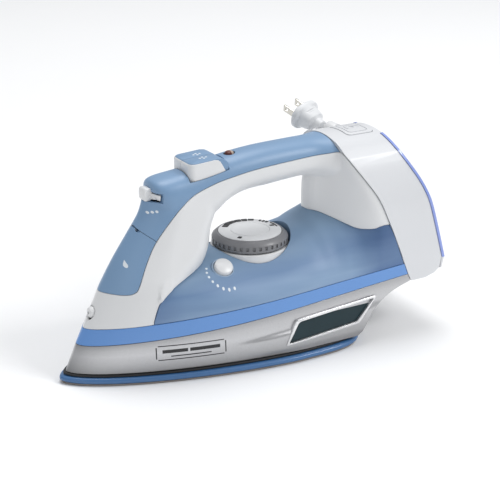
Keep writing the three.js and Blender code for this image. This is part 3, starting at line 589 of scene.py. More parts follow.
def plug_shell():
    stations = [
        (0.4, 3.6, 3.6, 2), (1.2, 4.5, 4.5, 2), (6.6, 4.9, 4.9, 2), (7.4, 6.0, 5.6, 2),
        (8.6, 8.3, 6.9, 2.4), (12.5, 9.2, 7.7, 2.6), (16.6, 9.9, 8.3, 2.6), (17.8, 10.6, 8.8, 2.6),
        (18.8, 12.9, 10.1, 2.6), (19.8, 13.4, 10.5, 2.6), (22.6, 13.4, 10.5, 2.6),
        (23.5, 12.6, 9.8, 2.6),
    ]
    rings = []
    turns = steps(0, 2 * math.pi, 64)[:-1]
    for z, *shape in stations:
        rings.append([(*superellipse(*shape, turn), z) for turn in turns])
    shell = loft(rings)
    for side in (-1, 1):
        for z in (10.8, 13, 15.2):
            cut(shell, box(-20, 20, side * 12 - 4.4, side * 12 + 4.4, z - 0.45, z + 0.45))
    for side in (-1, 1):
        cut(shell, box(side * BLADE_X - 1, side * BLADE_X + 1, -3.6, 3.6, 17.4, 30))
    placed(shell, plug_matrix())
    return finished(shell, "plug_shell", "cord_jacket", ["plug_body"])


def plug_blade(side):
    x = side * BLADE_X
    blade = bevelled(box(x - 0.75, x + 0.75, -3.15, 3.15, 18.4, 38), 0.35, 2)
    cut(blade, rod((x - 5, 0, 34.4), (x + 5, 0, 34.4), 1.5, 24))
    placed(blade, plug_matrix())
    number = 1 if side < 0 else 2
    return finished(blade, f"blade_{number}", "brass", [f"plug_blade_{number}"])


def add_cords():
    plug = [plug_shell(), plug_blade(-1), plug_blade(1)]
    lead = curve_through(LEAD_ROUTE, 4)
    add_cord("lead", "cord_lead", "iron", lead, LEAD_ROUTE[0], far_end="plug", lay="taut", with_pieces=plug)
    wound = winding_route()
    add_cord("wound_lead", "cord_winding", "cord_reel", wound, wound[0], far_end="object", lay="coiled")


# ---- Sole and skirt ----
STEAM_HOLES = [(-132, 0), (-108, -14), (-108, 0), (-108, 14)]
for hole_x, hole_y in ((-84, 24), (-58, 34), (-30, 42), (0, 46), (30, 47)):
    STEAM_HOLES += [(hole_x, -hole_y), (hole_x, hole_y)]


def stacked(profile):
    """A sole-shaped slab from (inset, height) points."""
    return loft([sole_ring(inset, height) for inset, height in profile])


def soleplate():
    plate = stacked([(2.2, 0), (1.6, 0.25), (1.25, 0.7), (1.2, 1.6)])
    cut(plate, *[post(x, y, -5, 5, 2.4, 24) for x, y in STEAM_HOLES])
    finished(plate, "plate", "sole_coating", ["soleplate"])


def sole_rim():
    bulge = [(1.4, 1.95), (0.6, 2.2), (0.15, 2.8), (0, 3.6), (0.15, 4.5), (0.8, 5.3), (2.0, 5.8), (3.6, 6)]
    finished(stacked(bulge), "rim", "blue_casting", ["sole_casting"])


def heat_shield():
    ring = stacked([(3.6, 6.35), (3.1, 6.7), (3, 7.6), (3.4, 7.95)])
    finished(ring, "heat_shield", "black_plastic", ["insulating_ring"])


WINDOW = [(6, 16), (16, 30.5), (84, 35.5), (66, 20.5)]

# The badge: a plain frame, and bars in place of its lettering, as start, end, bottom and top.
BADGE_BARS = [
    (-92, -44.5, 27.3, 28),
    (-92, -44.5, 16.5, 17.2),
    (-93.6, -92.8, 17.8, 26.7),
    (-43.7, -42.9, 17.8, 26.7),
    (-89, -71, 22, 24.6),
    (-69.5, -47.5, 22, 24.6),
    (-83, -54, 19, 19.8),
]


def window_outline(margin):
    """The window's side outline, each corner moved out by a margin and then rounded."""
    middle_x, middle_z = (sum(values) / len(WINDOW) for values in zip(*WINDOW))
    corners = []
    for x, z in WINDOW:
        wider = math.copysign(margin * 1.6, x - middle_x)
        corners.append((x + wider, z + math.copysign(margin, z - middle_z)))
    outline = []
    for i, corner in enumerate(corners):
        outline += bend(corners[i - 1], corner, corners[(i + 1) % len(corners)], 2.4, 4)
    return outline


def window_block(side, margin, depth=10):
    """The window's outline given its depth, across one flank."""
    return sideways(window_outline(margin), depth, side * 62)


def casing_shell(outer, inner):
    """What lies between two insets of the lower casing."""
    return cut(lower_casing(outer), lower_casing(inner))


def ease(value, low, high):
    t = min(max((value - low) / (high - low), 0), 1)
    return t * t * (3 - 2 * t)


def skirt_relief(x, z):
    """A step out below a line that starts behind the badge and runs to the window."""
    line = 24.2 + 0.07 * (x + 10)
    on = ease(x, -48, 2) * (1 - ease(x, 70, 100))
    return 1.5 * on * ease(line - z, -0.6, 2.6) * ease(z, 8, 14)


def overhang(offset):
    """What lies behind the arch under the heel, moved forwards and up by an offset."""
    arch = [(62, 0), (64.5, 7), (70.5, 10), (77, 18), (85.5, 27), (102, 36.5), (120, 42)]
    curve = curve_through(arch, 6)
    shifted = [(x - offset, z + offset * 0.7) for x, z in curve]
    return sideways([*shifted, (170, 44), (170, 0)])


def skirt():
    shell = lower_casing(0, skirt_relief)
    common(shell, strip(lambda x: SKIRT_BOTTOM, lambda x: band_bottom(x) - GAP, -160, 140))
    common(shell, in_front_of_housing())
    cut(shell, overhang(0))
    inner = lower_casing(WALL)
    common(inner, strip(lambda x: 0, lambda x: band_bottom(x) + 8, -160, 116))
    cut(inner, overhang(WALL))
    cut(shell, inner)
    for side in (-1, 1):
        cut(shell, common(window_block(side, 0.4), casing_shell(-4, 1.2)))
    finished(shell, "skirt_shell", "satin_metal", ["skirt"])
    for side, name in ((-1, "near"), (1, "far")):
        panel = common(window_block(side, -0.1), casing_shell(-0.1, 0.9))
        finished(panel, f"window_{name}", "window_plastic", [f"window_panel_{name}"])
        rim = cut(window_block(side, 1.8), window_block(side, 0.25, 12))
        common(rim, casing_shell(-2.1, 0.3))
        bevelled(rim, 0.4, 3)
        finished(rim, f"window_rim_{name}", "satin_frame")
    for number, (x0, x1, z0, z1) in enumerate(BADGE_BARS, 1):
        printed(shell, box(x0, x1, -80, -25, z0, z1), f"badge_bar_{number}", "printed_ink")


def band():
    tray = common(lower_casing(0), strip(band_bottom, band_top, -160, 140))
    common(tray, in_front_of_housing())
    inside = strip(lambda x: band_bottom(x) + WALL, lambda x: band_top(x) + 9, -160, 112)
    cut(tray, common(lower_casing(WALL), inside))
    cut(tray, post(VALVE_X, 0, 0, 60, 5.5), post(DIAL["x"], 0, 0, 60, 5.5))
    finished(tray, "band", "bright_blue_plastic", ["base_tray"])


# ---- Tank ----
RIDGE = [
    (-100, 70), (-75, 75), (-38, 80), (0, 84.3), (22, 87), (34, 89.2), (44, 93), (51, 98.4),
    (57, 101.2), (64, 102.5), (75, 103.3), (130, 106),
]
SQUARENESS = [
    (-100, 2.7), (-75, 2.6), (-38, 1.9), (-8, 1.6), (34, 1.8), (46, 1.6), (56, 1.5), (66, 1.65),
    (74.7, 1.85), (79.2, 2.05), (87.7, 3), (97, 5), (130, 5),
]
ridge = between(RIDGE)
squareness = between(SQUARENESS)


def body_half_at_band(x):
    front = nose_x(band_top(x))
    s = (x - front) / (FULL_WIDTH_X - front)
    return BODY_HALF if s >= 1 else BODY_HALF * (1 - (1 - s) ** 2.2) ** (1 / 1.6)


def tank_skin(inset, down=0.0):
    """The arched tank, which can also be taken down below its lower edge."""
    rings = []
    for x in steps(-97, 122, 72):
        low = band_top(x) + GAP
        half = body_half_at_band(x) - 0.6 - inset
        high = ridge(x) - inset
        ring = []
        for turn in steps(0, math.pi, 72):
            y, rise = superellipse(half, high - low, squareness(x), turn)
            ring.append((x, y, low + rise))
        if down:
            ring += [(x, -half, low - down), (x, half, low - down)]
        rings.append(ring)
    return loft(rings)


SEAM = [
    (-93, 36), (-93, 44), (-91.9, 48.7), (-88.6, 57.3), (-85.3, 61.7), (-80.7, 65.4), (-74.1, 69),
    (-64.4, 72.4), (-54.5, 75.2), (-47.7, 76.9), (-41.6, 78.6), (-30, 84),
]


def under_seam(offset):
    """Everything below and behind the line where the white prow meets the tank."""
    line = [(x - offset, z + offset) for x, z in curve_through(SEAM, 5)]
    return sideways([*line, (-30, 20), (-93 - offset, 20)])


def behind_seam(offset):
    front = [(x - offset, z + offset) for x, z in curve_through(SEAM[:7], 5)]
    return sideways([(-93 - offset, 20), *front, (-64, 74.5), (-64, 130), (140, 130), (140, 20)])


def button_axis(low, high):
    """Two points on the self-clean button's axis, which leans out to the near side."""
    tilt = BUTTON["tilt"]
    return [
        (BUTTON["x"], BUTTON["y"] - h * math.sin(tilt), BUTTON["z"] + h * math.cos(tilt))
        for h in (low, high)
    ]


CLEAN_MARKS = range(150, 277, 18)  # dots round the self-clean button, in degrees


def tank():
    shell = common(tank_skin(0), behind_seam(0), in_front_of_housing())
    cut(shell, post(DIAL["x"], 0, DIAL["seat"], 130, DIAL["radius"] + 1.8, 96))
    cut(shell, rod(*button_axis(-7, 30), BUTTON["radius"] + 1))
    finished(shell, "tank_shell", "tinted_tank", ["water_tank"])
    for number, turn in enumerate(CLEAN_MARKS, 1):
        angle = math.radians(turn)
        x = BUTTON["x"] + 14 * math.cos(angle)
        y = BUTTON["y"] - 3 + 12 * math.sin(angle)
        printed(shell, post(x, y, 40, 120, DOT, 16), f"clean_mark_{number}", "printed_white")


# ---- Handle ----
COLUMN = [
    # z, front, half width, nose run, rear, rear run
    (34, -137.9, 35, 60, -60, 20),
    (50, -130, 34.4, 54, -54, 30),
    (58, -126, 33.2, 49, -50, 38),
    (66, -122, 31.8, 44, -46, 42),
    (73, -118, 30, 41, -42, 42),
    (80, -114, 27.4, 38, -38, 32),
    (90, -107.6, 24.6, 34, -35.6, 20),
    (103, -98.4, 22, 29, -33.6, 16),
    (116, -89.6, 19.6, 26, -28, 16),
    (123, -86.6, 18.8, 25, -26, 18),
    (129, -85, 18.2, 24, -24, 18),
]
GRIP = [
    # x, underside, top, half width, squareness
    (-80, 132, 139.2, 6, 2),
    (-79, 129, 141, 10.4, 2.2),
    (-76, 123, 142.4, 14.8, 2.4),
    (-70, 115, 143.6, 17.4, 2.6),
    (-58, 108.6, 145, 18.2, 2.7),
    (-44, 106, 147, 18.4, 2.6),
    (-32, 110, 149.6, 18.4, 2.4),
    (-20, 118.6, 151.8, 18, 2.3),
    (-6, 123.4, 153.7, 17.8, 2.2),
    (12, 124.8, 155.2, 17.6, 2.2),
    (44, 127.2, 156, 17.8, 2.2),
    (54, 126.4, 156, 19, 2.2),
    (62, 124, 156.3, 22.5, 2.2),
    (68, 122, 156.5, 26, 2.2),
    (78, 117, 156.8, 32, 2.2),
]


def filled_in(table, places):
    """The rows of a station table at more places, each column smooth between them."""
    columns = [between([(row[0], row[k]) for row in table]) for k in range(1, len(table[0]))]
    return [(place, *[column(place) for column in columns]) for place in places]


def column(inset):
    rings = []
    for z, front, half, front_run, rear, rear_run in filled_in(COLUMN, steps(34, 129, 48)):
        rings.append(oval(front + inset * 1.2, rear - inset, half - inset, front_run, rear_run, z))
    return loft(rings)


def grip(inset):
    rings = []
    places = [-80, -79.6, -79, -78, -77, -76, -74, -72, *steps(-70, 78, 60)]
    for x, low, high, half, square in filled_in(GRIP, places):
        middle = (low + high) / 2
        end_inset = inset if x < -74 else 0
        ring = []
        for turn in steps(0, 2 * math.pi, 72)[:-1]:
            y, rise = superellipse(half - inset, (high - low) / 2 - inset, square, turn)
            ring.append((x + end_inset, y, middle + rise))
        rings.append(ring)
    return loft(rings)


wall_at = between([(30, BODY_HALF), (57, BODY_HALF), (105, 48), (122, 43), (143, 33), (149.2, 26.4)])
front_at = between([(z, x) for x, z in FRONT_EDGE])
leg_start = between([(84, 52), (120, 52), (135, 56), (150, 62)])
hollowness = between([(96, 1), (126, 1.7)])


def rear_leg(inset):
    """Full at the tank, and hollowed out under the grip."""
    rings = []
    for z in steps(86, 147, 40):
        front = leg_start(z) + inset
        end = front_at(z) + 8
        wide = wall_at(z) - 0.6 - inset
        narrow = max(9 - inset, 5)
        side = [(front, 0), (front + 0.4, narrow * 0.32), (front + 1.5, narrow * 0.64), (front + 4, narrow)]
        for t in steps(0.06, 1, 24):
            flare = math.sin(t * math.pi / 2) ** hollowness(z)
            side.append((front + 4 + (end - 12 - front) * t, narrow + (wide - narrow) * flare))
        side.append((end, wide))
        ring = side + [(x, -y) for x, y in reversed(side[1:])]
        rings.append([(x, y, z) for x, y in ring])
    return loft(rings)


COVER_LINE = [
    (90, 147.6), (68, 147), (54, 145.5), (3, 142.4), (-23, 139), (-37, 136), (-52, 131), (-62, 124),
    (-69, 117), (-83, 101), (-91.5, 87), (-99.5, 71), (-103, 67), (-109, 65.4), (-122, 65.4),
    (-160, 65.4),
]
HINGE = {"x": -92.2, "z": 107.75, "half": 2.4, "radius": 1.6, "pin": 0.7}


def seam_z(x):
    return 109.2 - 0.77 * (x + 92.9)


def above_cover_line(offset):
    line = [(x + offset, z - offset) for x, z in curve_through(COVER_LINE, 6)]
    return sideways([*line, (-160, 190), (90 + offset, 190)])


def below_door_seam(offset):
    return sideways([(-140, seam_z(-140) - offset), (-60, seam_z(-60) - offset), (-60, 20), (-140, 20)])


def hinge_sweep():
    """What the door's top edge sweeps as it opens: widest in the middle of the skin."""
    half = [(2.8, 0), (2.7, 1.5), (2.2, 2.8), (1.9, 3.6), (1.3, 5), (1, 6), (0, 6)]
    spindle = [(radius, -y) for radius, y in reversed(half[1:])] + half
    turn = Matrix.Rotation(math.pi / 2, 4, "X")
    return placed(turned(spindle, 48), Matrix.Translation((HINGE["x"], 0, HINGE["z"])) @ turn)


def hinge_rod(radius, half):
    return rod((HINGE["x"], -half, HINGE["z"]), (HINGE["x"], half, HINGE["z"]), radius, 32)


def handle_outer():
    whole = join(column(0), grip(0), rear_leg(0))
    melted(whole, 1.0, 9)
    return common(whole, in_front_of_housing())


DROP_MARK = [
    (-104.4, 88.6), (-103.2, 85.6), (-103.3, 84.4), (-104.2, 83.6), (-105.3, 83.9), (-105.9, 84.9),
    (-105.6, 86.2),
]
STEAM_MARKS = [(-84.2, 120.6), (-81.6, 121.2), (-79, 121.8)]


def handle():
    outer = handle_outer()
    inner = join(column(WALL), grip(WALL), rear_leg(WALL))
    shell = cut(outer, inner)

    body = cut(copy(shell), above_cover_line(0))
    cut(body, under_seam(GAP))
    cut(body, common(tank_skin(-GAP, 60), behind_seam(GAP)))
    cut(body, strip(lambda x: 0, lambda x: band_top(x) + GAP, -165, 150))
    cut(body, rod((NOZZLE["x"] - 19, 0, NOZZLE["z"]), (NOZZLE["x"] + 11, 0, NOZZLE["z"]), 5.2))
    finished(body, "handle_shell", "white_plastic", ["handle_body"])

    cover = common(shell, above_cover_line(-GAP))
    door = common(copy(cover), below_door_seam(GAP / 2))
    join(door, hinge_rod(HINGE["radius"], HINGE["half"]))
    cut(door, hinge_rod(HINGE["pin"] + 0.35, 30))
    finished(door, "door", "blue_plastic", ["fill_door"], body="door")
    printed(door, sideways(DROP_MARK, 30, -31), "drop_mark", "printed_white", body="door")

    cut(cover, below_door_seam(-GAP / 2))
    cut(cover, hinge_sweep(), hinge_rod(HINGE["pin"] + 0.4, 30))
    cut(cover, box(-110, -75.2, -30, 30, 127.8, 134.9))
    edge = 0.4
    half = BLOCK["half"] + edge
    well = box(BLOCK["front"] - edge, BLOCK["rear"], -half, half, 133, 170)
    cut(cover, well, post(LAMP_X, 0, 140, 170, 4.4))
    finished(cover, "cover", "blue_plastic", ["grip_cover"])
    for number, (x, z) in enumerate(STEAM_MARKS, 1):
        puff = rod((x, -60, z - 2), (x, -5, z), DOT, 24)
        printed(cover, puff, f"steam_mark_{number}", "printed_white")


# ---- Rear housing ----
TRIM_LINE = [(152.6, 46), (152.4, 56), (139.2, 104.4), (132, 120.9), (118.4, 143), (110.5, 158)]
HEEL_SCREWS = [(-34, 66), (34, 66)]
ROOF_HALF = 17  # the housing covers the trim ring this far from the middle
CROWN = [(33, 143), (26.4, 149.2), (22.4, 152), (18.4, 154), (14, 155.3), (7, 156.6), (0, TOP)]


def housing_section(inset):
    """The housing's rounded cross-section, run from front to back and moved inwards by an inset."""
    flank = [(wall_at(z), z) for z in steps(57, 137, 36)]
    line = [(wall_at(41.4), 29.4), *flank, *curve_through(CROWN, 5)]
    last = len(line) - 1
    side = []
    for i, (y, z) in enumerate(line):
        before, after = line[max(i - 1, 0)], line[min(i + 1, last)]
        slope = Vector((after[0] - before[0], after[1] - before[1])).normalized()
        if i == last:
            slope = Vector((-1, 0))
        side.append((y - inset * slope[1], z + inset * slope[0]))
    outline = side + [(-y, z) for y, z in reversed(side[:-1])]
    return loft([[(x, y, z) for y, z in outline] for x in (50, 170)])


def rear_line(inset):
    """The housing's rear edge, from the bottom up, with softened corners."""
    line = [TRIM_LINE[1]]
    for corners in zip(TRIM_LINE[1:], TRIM_LINE[2:], TRIM_LINE[3:]):
        line += bend(*corners, 7, 5)
    line.append(TRIM_LINE[-1])
    return [(x - inset, z) for x, z in line]


def housing_side(front_inset, rear_inset, bottom_inset):
    bottom = [(121.2 + front_inset, 41.6), (134.3, 41.6), (143, 44), (150.4 - rear_inset, 47.4)]
    corner = [(x, z + bottom_inset) for x, z in bottom]
    front = [point for point in housing_front(-front_inset) if point[1] > 44]
    return sideways([*corner, *rear_line(rear_inset), (front[-1][0], 158), *reversed(front[:-1])])


def rear_housing():
    over_trim = cut(box(60, 130, -ROOF_HALF, ROOF_HALF, 140, 170), housing_section(WALL))
    roof = common(housing_section(0), housing_side(0, 0, 0), over_trim)
    shell = join(common(housing_section(0), housing_side(0, 2.6, 0)), roof)
    cut(shell, common(housing_section(WALL), housing_side(WALL, -20, WALL)))
    cut(shell, retract_slab(0.5, 150, 170, 4))
    cut(shell, rod(*exit_span(-4, 12), CORD_DIAMETER / 2 + 3.2))
    finished(shell, "housing", "pearl_plastic", ["rear_housing"])
    lip = common(housing_section(-0.45), housing_side(0, 20, -10))
    cut(lip, housing_section(0.4), housing_side(2.6, -20, -20))
    cut(lip, box(40, 200, -80, 80, 20, 62), box(40, 200, -ROOF_HALF - 2, ROOF_HALF + 2, 120, 200))
    bevelled(lip, 0.2, 2)
    finished(lip, "housing_lip", "pearl_plastic")


def trim():
    roof_wall = ROOF_HALF + 0.4
    under_roof = cut(box(100, 170, -roof_wall, roof_wall, 140, 170), housing_section(WALL + 0.4))
    ring = common(housing_section(-0.6), cut(housing_side(0, 0, 0), housing_side(0, 2.3, -10)))
    cut(ring, under_roof, box(100, 170, -80, 80, 0, 56), housing_section(3.6))
    finished(ring, "trim", "lavender_plastic", ["trim_ring"])
    plate = common(housing_section(4.1), cut(housing_side(0, -2.6, 0), housing_side(0, 2.2, -10)))
    foot = common(housing_section(0.3), cut(housing_side(0, -0.2, 0), housing_side(0, 2.2, -10)))
    join(plate, common(foot, box(100, 170, -80, 80, 0, 55.7)))
    holes = []
    for y, z in HEEL_SCREWS:
        x = heel_x(z)
        holes.append(rod((x - 12, y, z), (x + 12, y, z), 2.4, 24))
        holes.append(rod((x - 0.6, y, z), (x + 12, y, z), 4.4, 32))
    cut(plate, *holes)
    for z in (76, 81, 86, 91):
        slot_x = heel_x(z) + 2.6
        cut(plate, box(slot_x - 1, slot_x + 6, -16, 16, z - 1, z + 1))
    finished(plate, "heel", "pearl_plastic", ["heel_cover"])
    for number, (y, z) in enumerate(HEEL_SCREWS, 1):
        x = heel_x(z)
        head = turned([(0, 0), (2, 0), (2, 7.8), (0, 7.8)], 32)
        cut(head, box(-1.5, 1.5, -0.3, 0.3, 7.1, 9), box(-0.3, 0.3, -1.5, 1.5, 7.1, 9))
        placed(head, along((x - 9, y, z), (x, y, z)))
        finished(head, f"screw_{number}", "steel", [f"heel_screw_{number}"])


def heel_x(z):
    """Where the flat back of the heel is at a height."""
    return 155 - (z - 56) / 48.4 * 13.2


def exit_span(inwards, outwards):
    """Two points on the line on which the cord leaves the housing."""
    direction = Vector((-0.29, 0.945, 0.15))
    middle = Vector((93.5, 27, 149.5))
    return [tuple(middle + direction * run) for run in (inwards, outwards)]


def cord_collar():
    collar = turned([(0, -3), (6.1, -3), (6.1, 4.4), (5.6, 5.8), (5.2, 6.2), (0, 6.2)], 48)
    hole = turned([(0, -6), (4.5, -6), (4.5, 3.6), (4.9, 5.4), (5.1, 10), (0, 10)], 48)
    cut(collar, hole)
    placed(collar, along(*exit_span(-3, 10)))
    finished(collar, "cord_collar", "white_plastic", ["cord_guide"])


def retract_slab(margin, low, high, radius):
    """The retract button's rounded outline, grown by a margin and given its height."""
    reach = RETRACT["half_length"] + margin - radius
    width = RETRACT["half_width"] + margin - radius
    outline = []
    for first, toward_x, toward_y in ((0, 1, 1), (90, -1, 1), (180, -1, -1), (270, 1, -1)):
        for degrees in steps(first, first + 90, 6):
            turn = math.radians(degrees)
            x = RETRACT["x"] + toward_x * reach + radius * math.cos(turn)
            outline.append((x, toward_y * width + radius * math.sin(turn)))
    return upright(outline, low, high)


def retract_button():
    x = RETRACT["x"]
    plate = common(retract_slab(0, 152.6, 170, 3.6), housing_section(-0.5))
    bevelled(plate, 0.5, 3, 50)
    frame_line = cut(retract_slab(-3, 150, 170, 3), retract_slab(-3.9, 140, 180, 2.4))
    swirl = cut(post(x, 0, 150, 170, 6.2), post(x, 0, 140, 180, 5.2))  # half a ring
    cut(swirl, box(x - 4.5, x + 5.5, -8, 0, 140, 180))
    for groove in (frame_line, swirl, post(x, 0, 150, 170, 2.2)):
        cut(plate, cut(groove, housing_section(0.1)))
    join(plate, box(90, 98, -3, 3, 148, 153.5))
    finished(plate, "retract_key", "pearl_plastic", ["retract_button"], body="retract")


# ---- Dial ----
def at_dial(piece):
    """Moves a piece that was turned about the middle to the dial's own axis."""
    return placed(piece, Matrix.Translation((DIAL["x"], 0, 0)))


# Plain marks round the dial's face: start angle, end angle, inner and outer radius.
DIAL_MARKS = [
    (52, 64, 19.5, 22.6), (66, 78, 18.5, 22.8), (80, 92, 18.5, 22.8), (94, 106, 18.5, 22.8),
    (108, 122, 18.2, 22.6), (124, 136, 17.6, 22.0), (20, 24, 19.5, 22.4), (28, 32, 19.5, 22.4),
    (36, 40, 19.5, 22.4), (-12, 14, 21.4, 22.2), (-6, 0, 17.2, 20.4), (214, 222, 18.2, 21.4),
]
NOTCHES = 38  # finger notches round the dial's grip


def arc_band(start, end, inner, outer, low, high):
    turns = [math.radians(angle) for angle in steps(start, end, 8)]
    outline = [(outer * math.cos(t), outer * math.sin(t)) for t in turns]
    outline += [(inner * math.cos(t), inner * math.sin(t)) for t in reversed(turns)]
    return upright(outline, low, high)


def dial():
    ring, face, radius = DIAL["ring"], DIAL["face"], DIAL["radius"]
    body_line = [
        (0, ring), (radius - 0.8, ring), (radius - 0.1, ring + 0.5), (radius, ring + 1.4),
        (radius, face - 3.4), (radius - 0.5, face - 2.4), (radius - 3.4, face + 0.1),
        (radius - 4.2, face + 0.4), (24.4, face + 0.4), (24.4, face - 1.6), (0, face - 1.6),
    ]
    body = turned(body_line, 144)
    notches = []
    for i in range(NOTCHES):
        notch = box(radius - 1, radius + 2, -1.05, 1.05, ring + 2.2, ring + 5)
        placed(notch, Matrix.Rotation(2 * math.pi * i / NOTCHES, 4, "Z"))
        notches.append(notch)
    cut(body, *notches)
    finished(at_dial(body), "dial_grip", "grey_plastic", ["dial_ring"], body="dial")

    cap_line = [
        (0, face - 1.2), (23.9, face - 1.2), (24.1, face - 0.6), (24.1, face + 0.6),
        (23.6, face + 0.9), (15.4, face + 1.25), (15.2, face + 0.9), (14.7, face + 0.9),
        (14.5, face + 1.28), (0, face + 1.4),
    ]
    cap = turned(cap_line, 144)
    finished(at_dial(cap), "dial_cap", "white_plastic", ["dial_face"], body="dial")
    for i, (start, end, inner, outer) in enumerate(DIAL_MARKS, 1):
        mark = arc_band(start, end, inner, outer, face + 0.7, face + 1.45)
        finished(at_dial(mark), f"dial_mark_{i}", "printed_ink", body="dial")

    rim_line = [
        (0, 70.6), (radius + 1.2, 70.6), (radius + 1.4, 72), (radius + 1.0, ring - 1.6),
        (radius, ring - 0.8), (0, ring - 0.8),
    ]
    rim = turned(rim_line, 144)
    cut(rim, post(0, 0, 60, 90, 5))
    finished(at_dial(rim), "dial_seat", "white_plastic", ["dial_base"])


# ---- Buttons, lever and nozzle ----
BLOCK_MARKS = [(-40.5, 5), (-38, 3.6), (-35.5, 5), (-38, 6.6)]
CORNER = 5  # radius of the block's two front corners


def button_block():
    front, half, low, top = (BLOCK[key] for key in ("front", "half", "low", "top"))
    side_line = [
        (front + 0.4, low), (front, top - 1.2), (front + 0.6, top - 0.4), (-33, top + 0.9),
        (-30.4, top + 0.4), (-28.6, top - 1), (-24.6, low + 5.6), (-24.8, low + 3.6), (-26.4, low),
    ]
    cap_line = [
        (front + 0.9, top - 0.5), (front + 1.6, top + 0.2), (-31, top + 1.5), (-27, top + 1),
        (-24.6, top - 0.2), (-21.9, top - 2.8), (-21.9, low), (-26, low), (-29.4, top - 1.6),
    ]
    for side, name in ((-1, "spray"), (1, "burst")):
        edges = half_block(side_line, side, half)
        finished(edges, f"{name}_side", "white_plastic", [f"{name}_button"], body=name)
        lid = half_block(cap_line, side, half - 0.5)
        finished(lid, f"{name}_cap", "blue_plastic", body=name)
        for number, (x, y) in enumerate(BLOCK_MARKS, 1):
            dot = post(x, side * y, 140, 170, DOT, 16)
            printed(lid, dot, f"{name}_mark_{number}", "printed_white", body=name)


def half_block(outline, side, half):
    """One half of the block: a side outline with a rounded outer corner at its front."""
    block = sideways(outline, half / 2 - 0.12, side * (half / 2 + 0.12))
    front = min(point[0] for point in outline)
    corner_x, corner_y = front + CORNER, half - CORNER
    plan = [(front - 3, half + 3), (corner_x, half + 3), (corner_x, half)]
    for turn in steps(0, math.pi / 2, 8)[1:-1]:
        plan.append((corner_x - CORNER * math.sin(turn), corner_y + CORNER * math.cos(turn)))
    plan += [(front, corner_y), (front - 3, corner_y)]
    cut(block, upright([(x, side * y) for x, y in plan], 120, 180))
    return bevelled(block, 0.5, 3, 50)


KNOB_SIDE = [
    (-85.4, 128.6), (-85.6, 132), (-85.4, 136), (-84, 137.4), (-79.8, 137), (-78.4, 134.2),
    (-78.4, 130), (-80, 128), (-84, 127.8),
]


def steam_lever():
    knob = sideways(KNOB_SIDE, 4.6)
    bevelled(knob, 1.0, 4, 30)
    lip = common(grip(0.6), box(-110, -76.4, -30, 30, 129.2, 133.4))
    whole = join(knob, lip, post(VALVE_X, 0, 129.2, 133.4, 11))
    finished(bevelled(whole, 0.3, 2, 50), "lever", "white_plastic", ["steam_lever"], body="lever")


def nozzle():
    profile = [(0, -9.4), (2.6, -9.4), (3.6, -8.9), (4.1, -8), (4.6, -6), (4.8, -0.4), (4.4, 0), (0, 0)]
    tip = turned(profile, 64)
    cut(tip, post(0, 0, -20, -6, 1.2, 24))
    turn = Matrix.Rotation(math.pi / 2, 4, "Y")
    placed(tip, Matrix.Translation((NOZZLE["x"], 0, NOZZLE["z"])) @ turn)
    finished(tip, "nozzle", "white_plastic", ["spray_nozzle"])


def self_clean():
    radius = BUTTON["radius"]
    frame_at = along(*button_axis(0, 10))
    profile = [(0, -1.5), (radius, -1.5), (radius, 2.2), (radius - 0.4, 3.2), (radius - 1.3, 3.8), (0, 4.0)]
    key = placed(join(turned(profile, 72), post(0, 0, -9, -1, 2.1)), frame_at)
    finished(key, "clean_key", "white_plastic", ["self_clean_button"], body="self_clean")
    rings = ((radius + 1.6, -4), (radius + 1.5, 0.4), (radius + 1.1, 0.9))
    collar = loft([circle(reach, height, 72) for reach, height in rings])
    cut(collar, post(0, 0, -8, 8, radius + 0.5, 72))
    finished(placed(collar, frame_at), "clean_collar", "clear_collar")


def indicator():
    dome = turned([(0, 148), (3.4, 148), (3.4, 152.9), (2.9, 153.7), (1.8, 154.2), (0, 154.4)], 48)
    lens = cut(copy(dome), box(-9, 0.4, -9, 9, 140, 160))
    shade_half = cut(dome, box(0.4, 9, -9, 9, 140, 160))
    shift = Matrix.Translation((LAMP_X, 0, 0))
    finished(placed(lens, shift), "lamp", "cream_plastic", ["indicator_lens"])
    finished(placed(shade_half, shift), "lamp_shade", "lens")


def spring(node, joint, start, end, radius, wire, turns, keep):
    """A coil spring from its start to its end."""
    length = (Vector(end) - Vector(start)).length
    per_turn = 24
    sides = 8
    count = turns * per_turn
    rings = []
    for i in range(count + 1):
        turn = 2 * math.pi * i / per_turn
        height = wire + (length - 2 * wire) * i / count
        ring = []
        for j in range(sides):
            round_wire = 2 * math.pi * j / sides
            reach = radius + wire * math.cos(round_wire)
            rise = height + wire * math.sin(round_wire)
            ring.append((reach * math.cos(turn), reach * math.sin(turn), rise))
        rings.append(ring)
    coil = placed(loft(rings), along(start, end))
    finished(coil, f"{node}_coil", "steel", [node])
    axis = (Vector(end) - Vector(start)).normalized()
    tuple(value * MM for value in start)
    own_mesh(coil)


def springs():
    for side, name in ((-1, "spray"), (1, "burst")):
        low, high = ((PUMP["x"], side * PUMP["y"], z) for z in (134.4, 143.2))
        spring(f"{name}_spring", f"{name}_press", low, high, 3.8, 0.7, 5, 0.42)
    spring("self_clean_spring", "self_clean_press", *button_axis(-6.4, -2), 4.2, 0.6, 3, 0.18)
    spring("retract_spring", "retract_press", (88, 8, 144.4), (88, 8, 152.4), 3, 0.5, 5, 0.62)


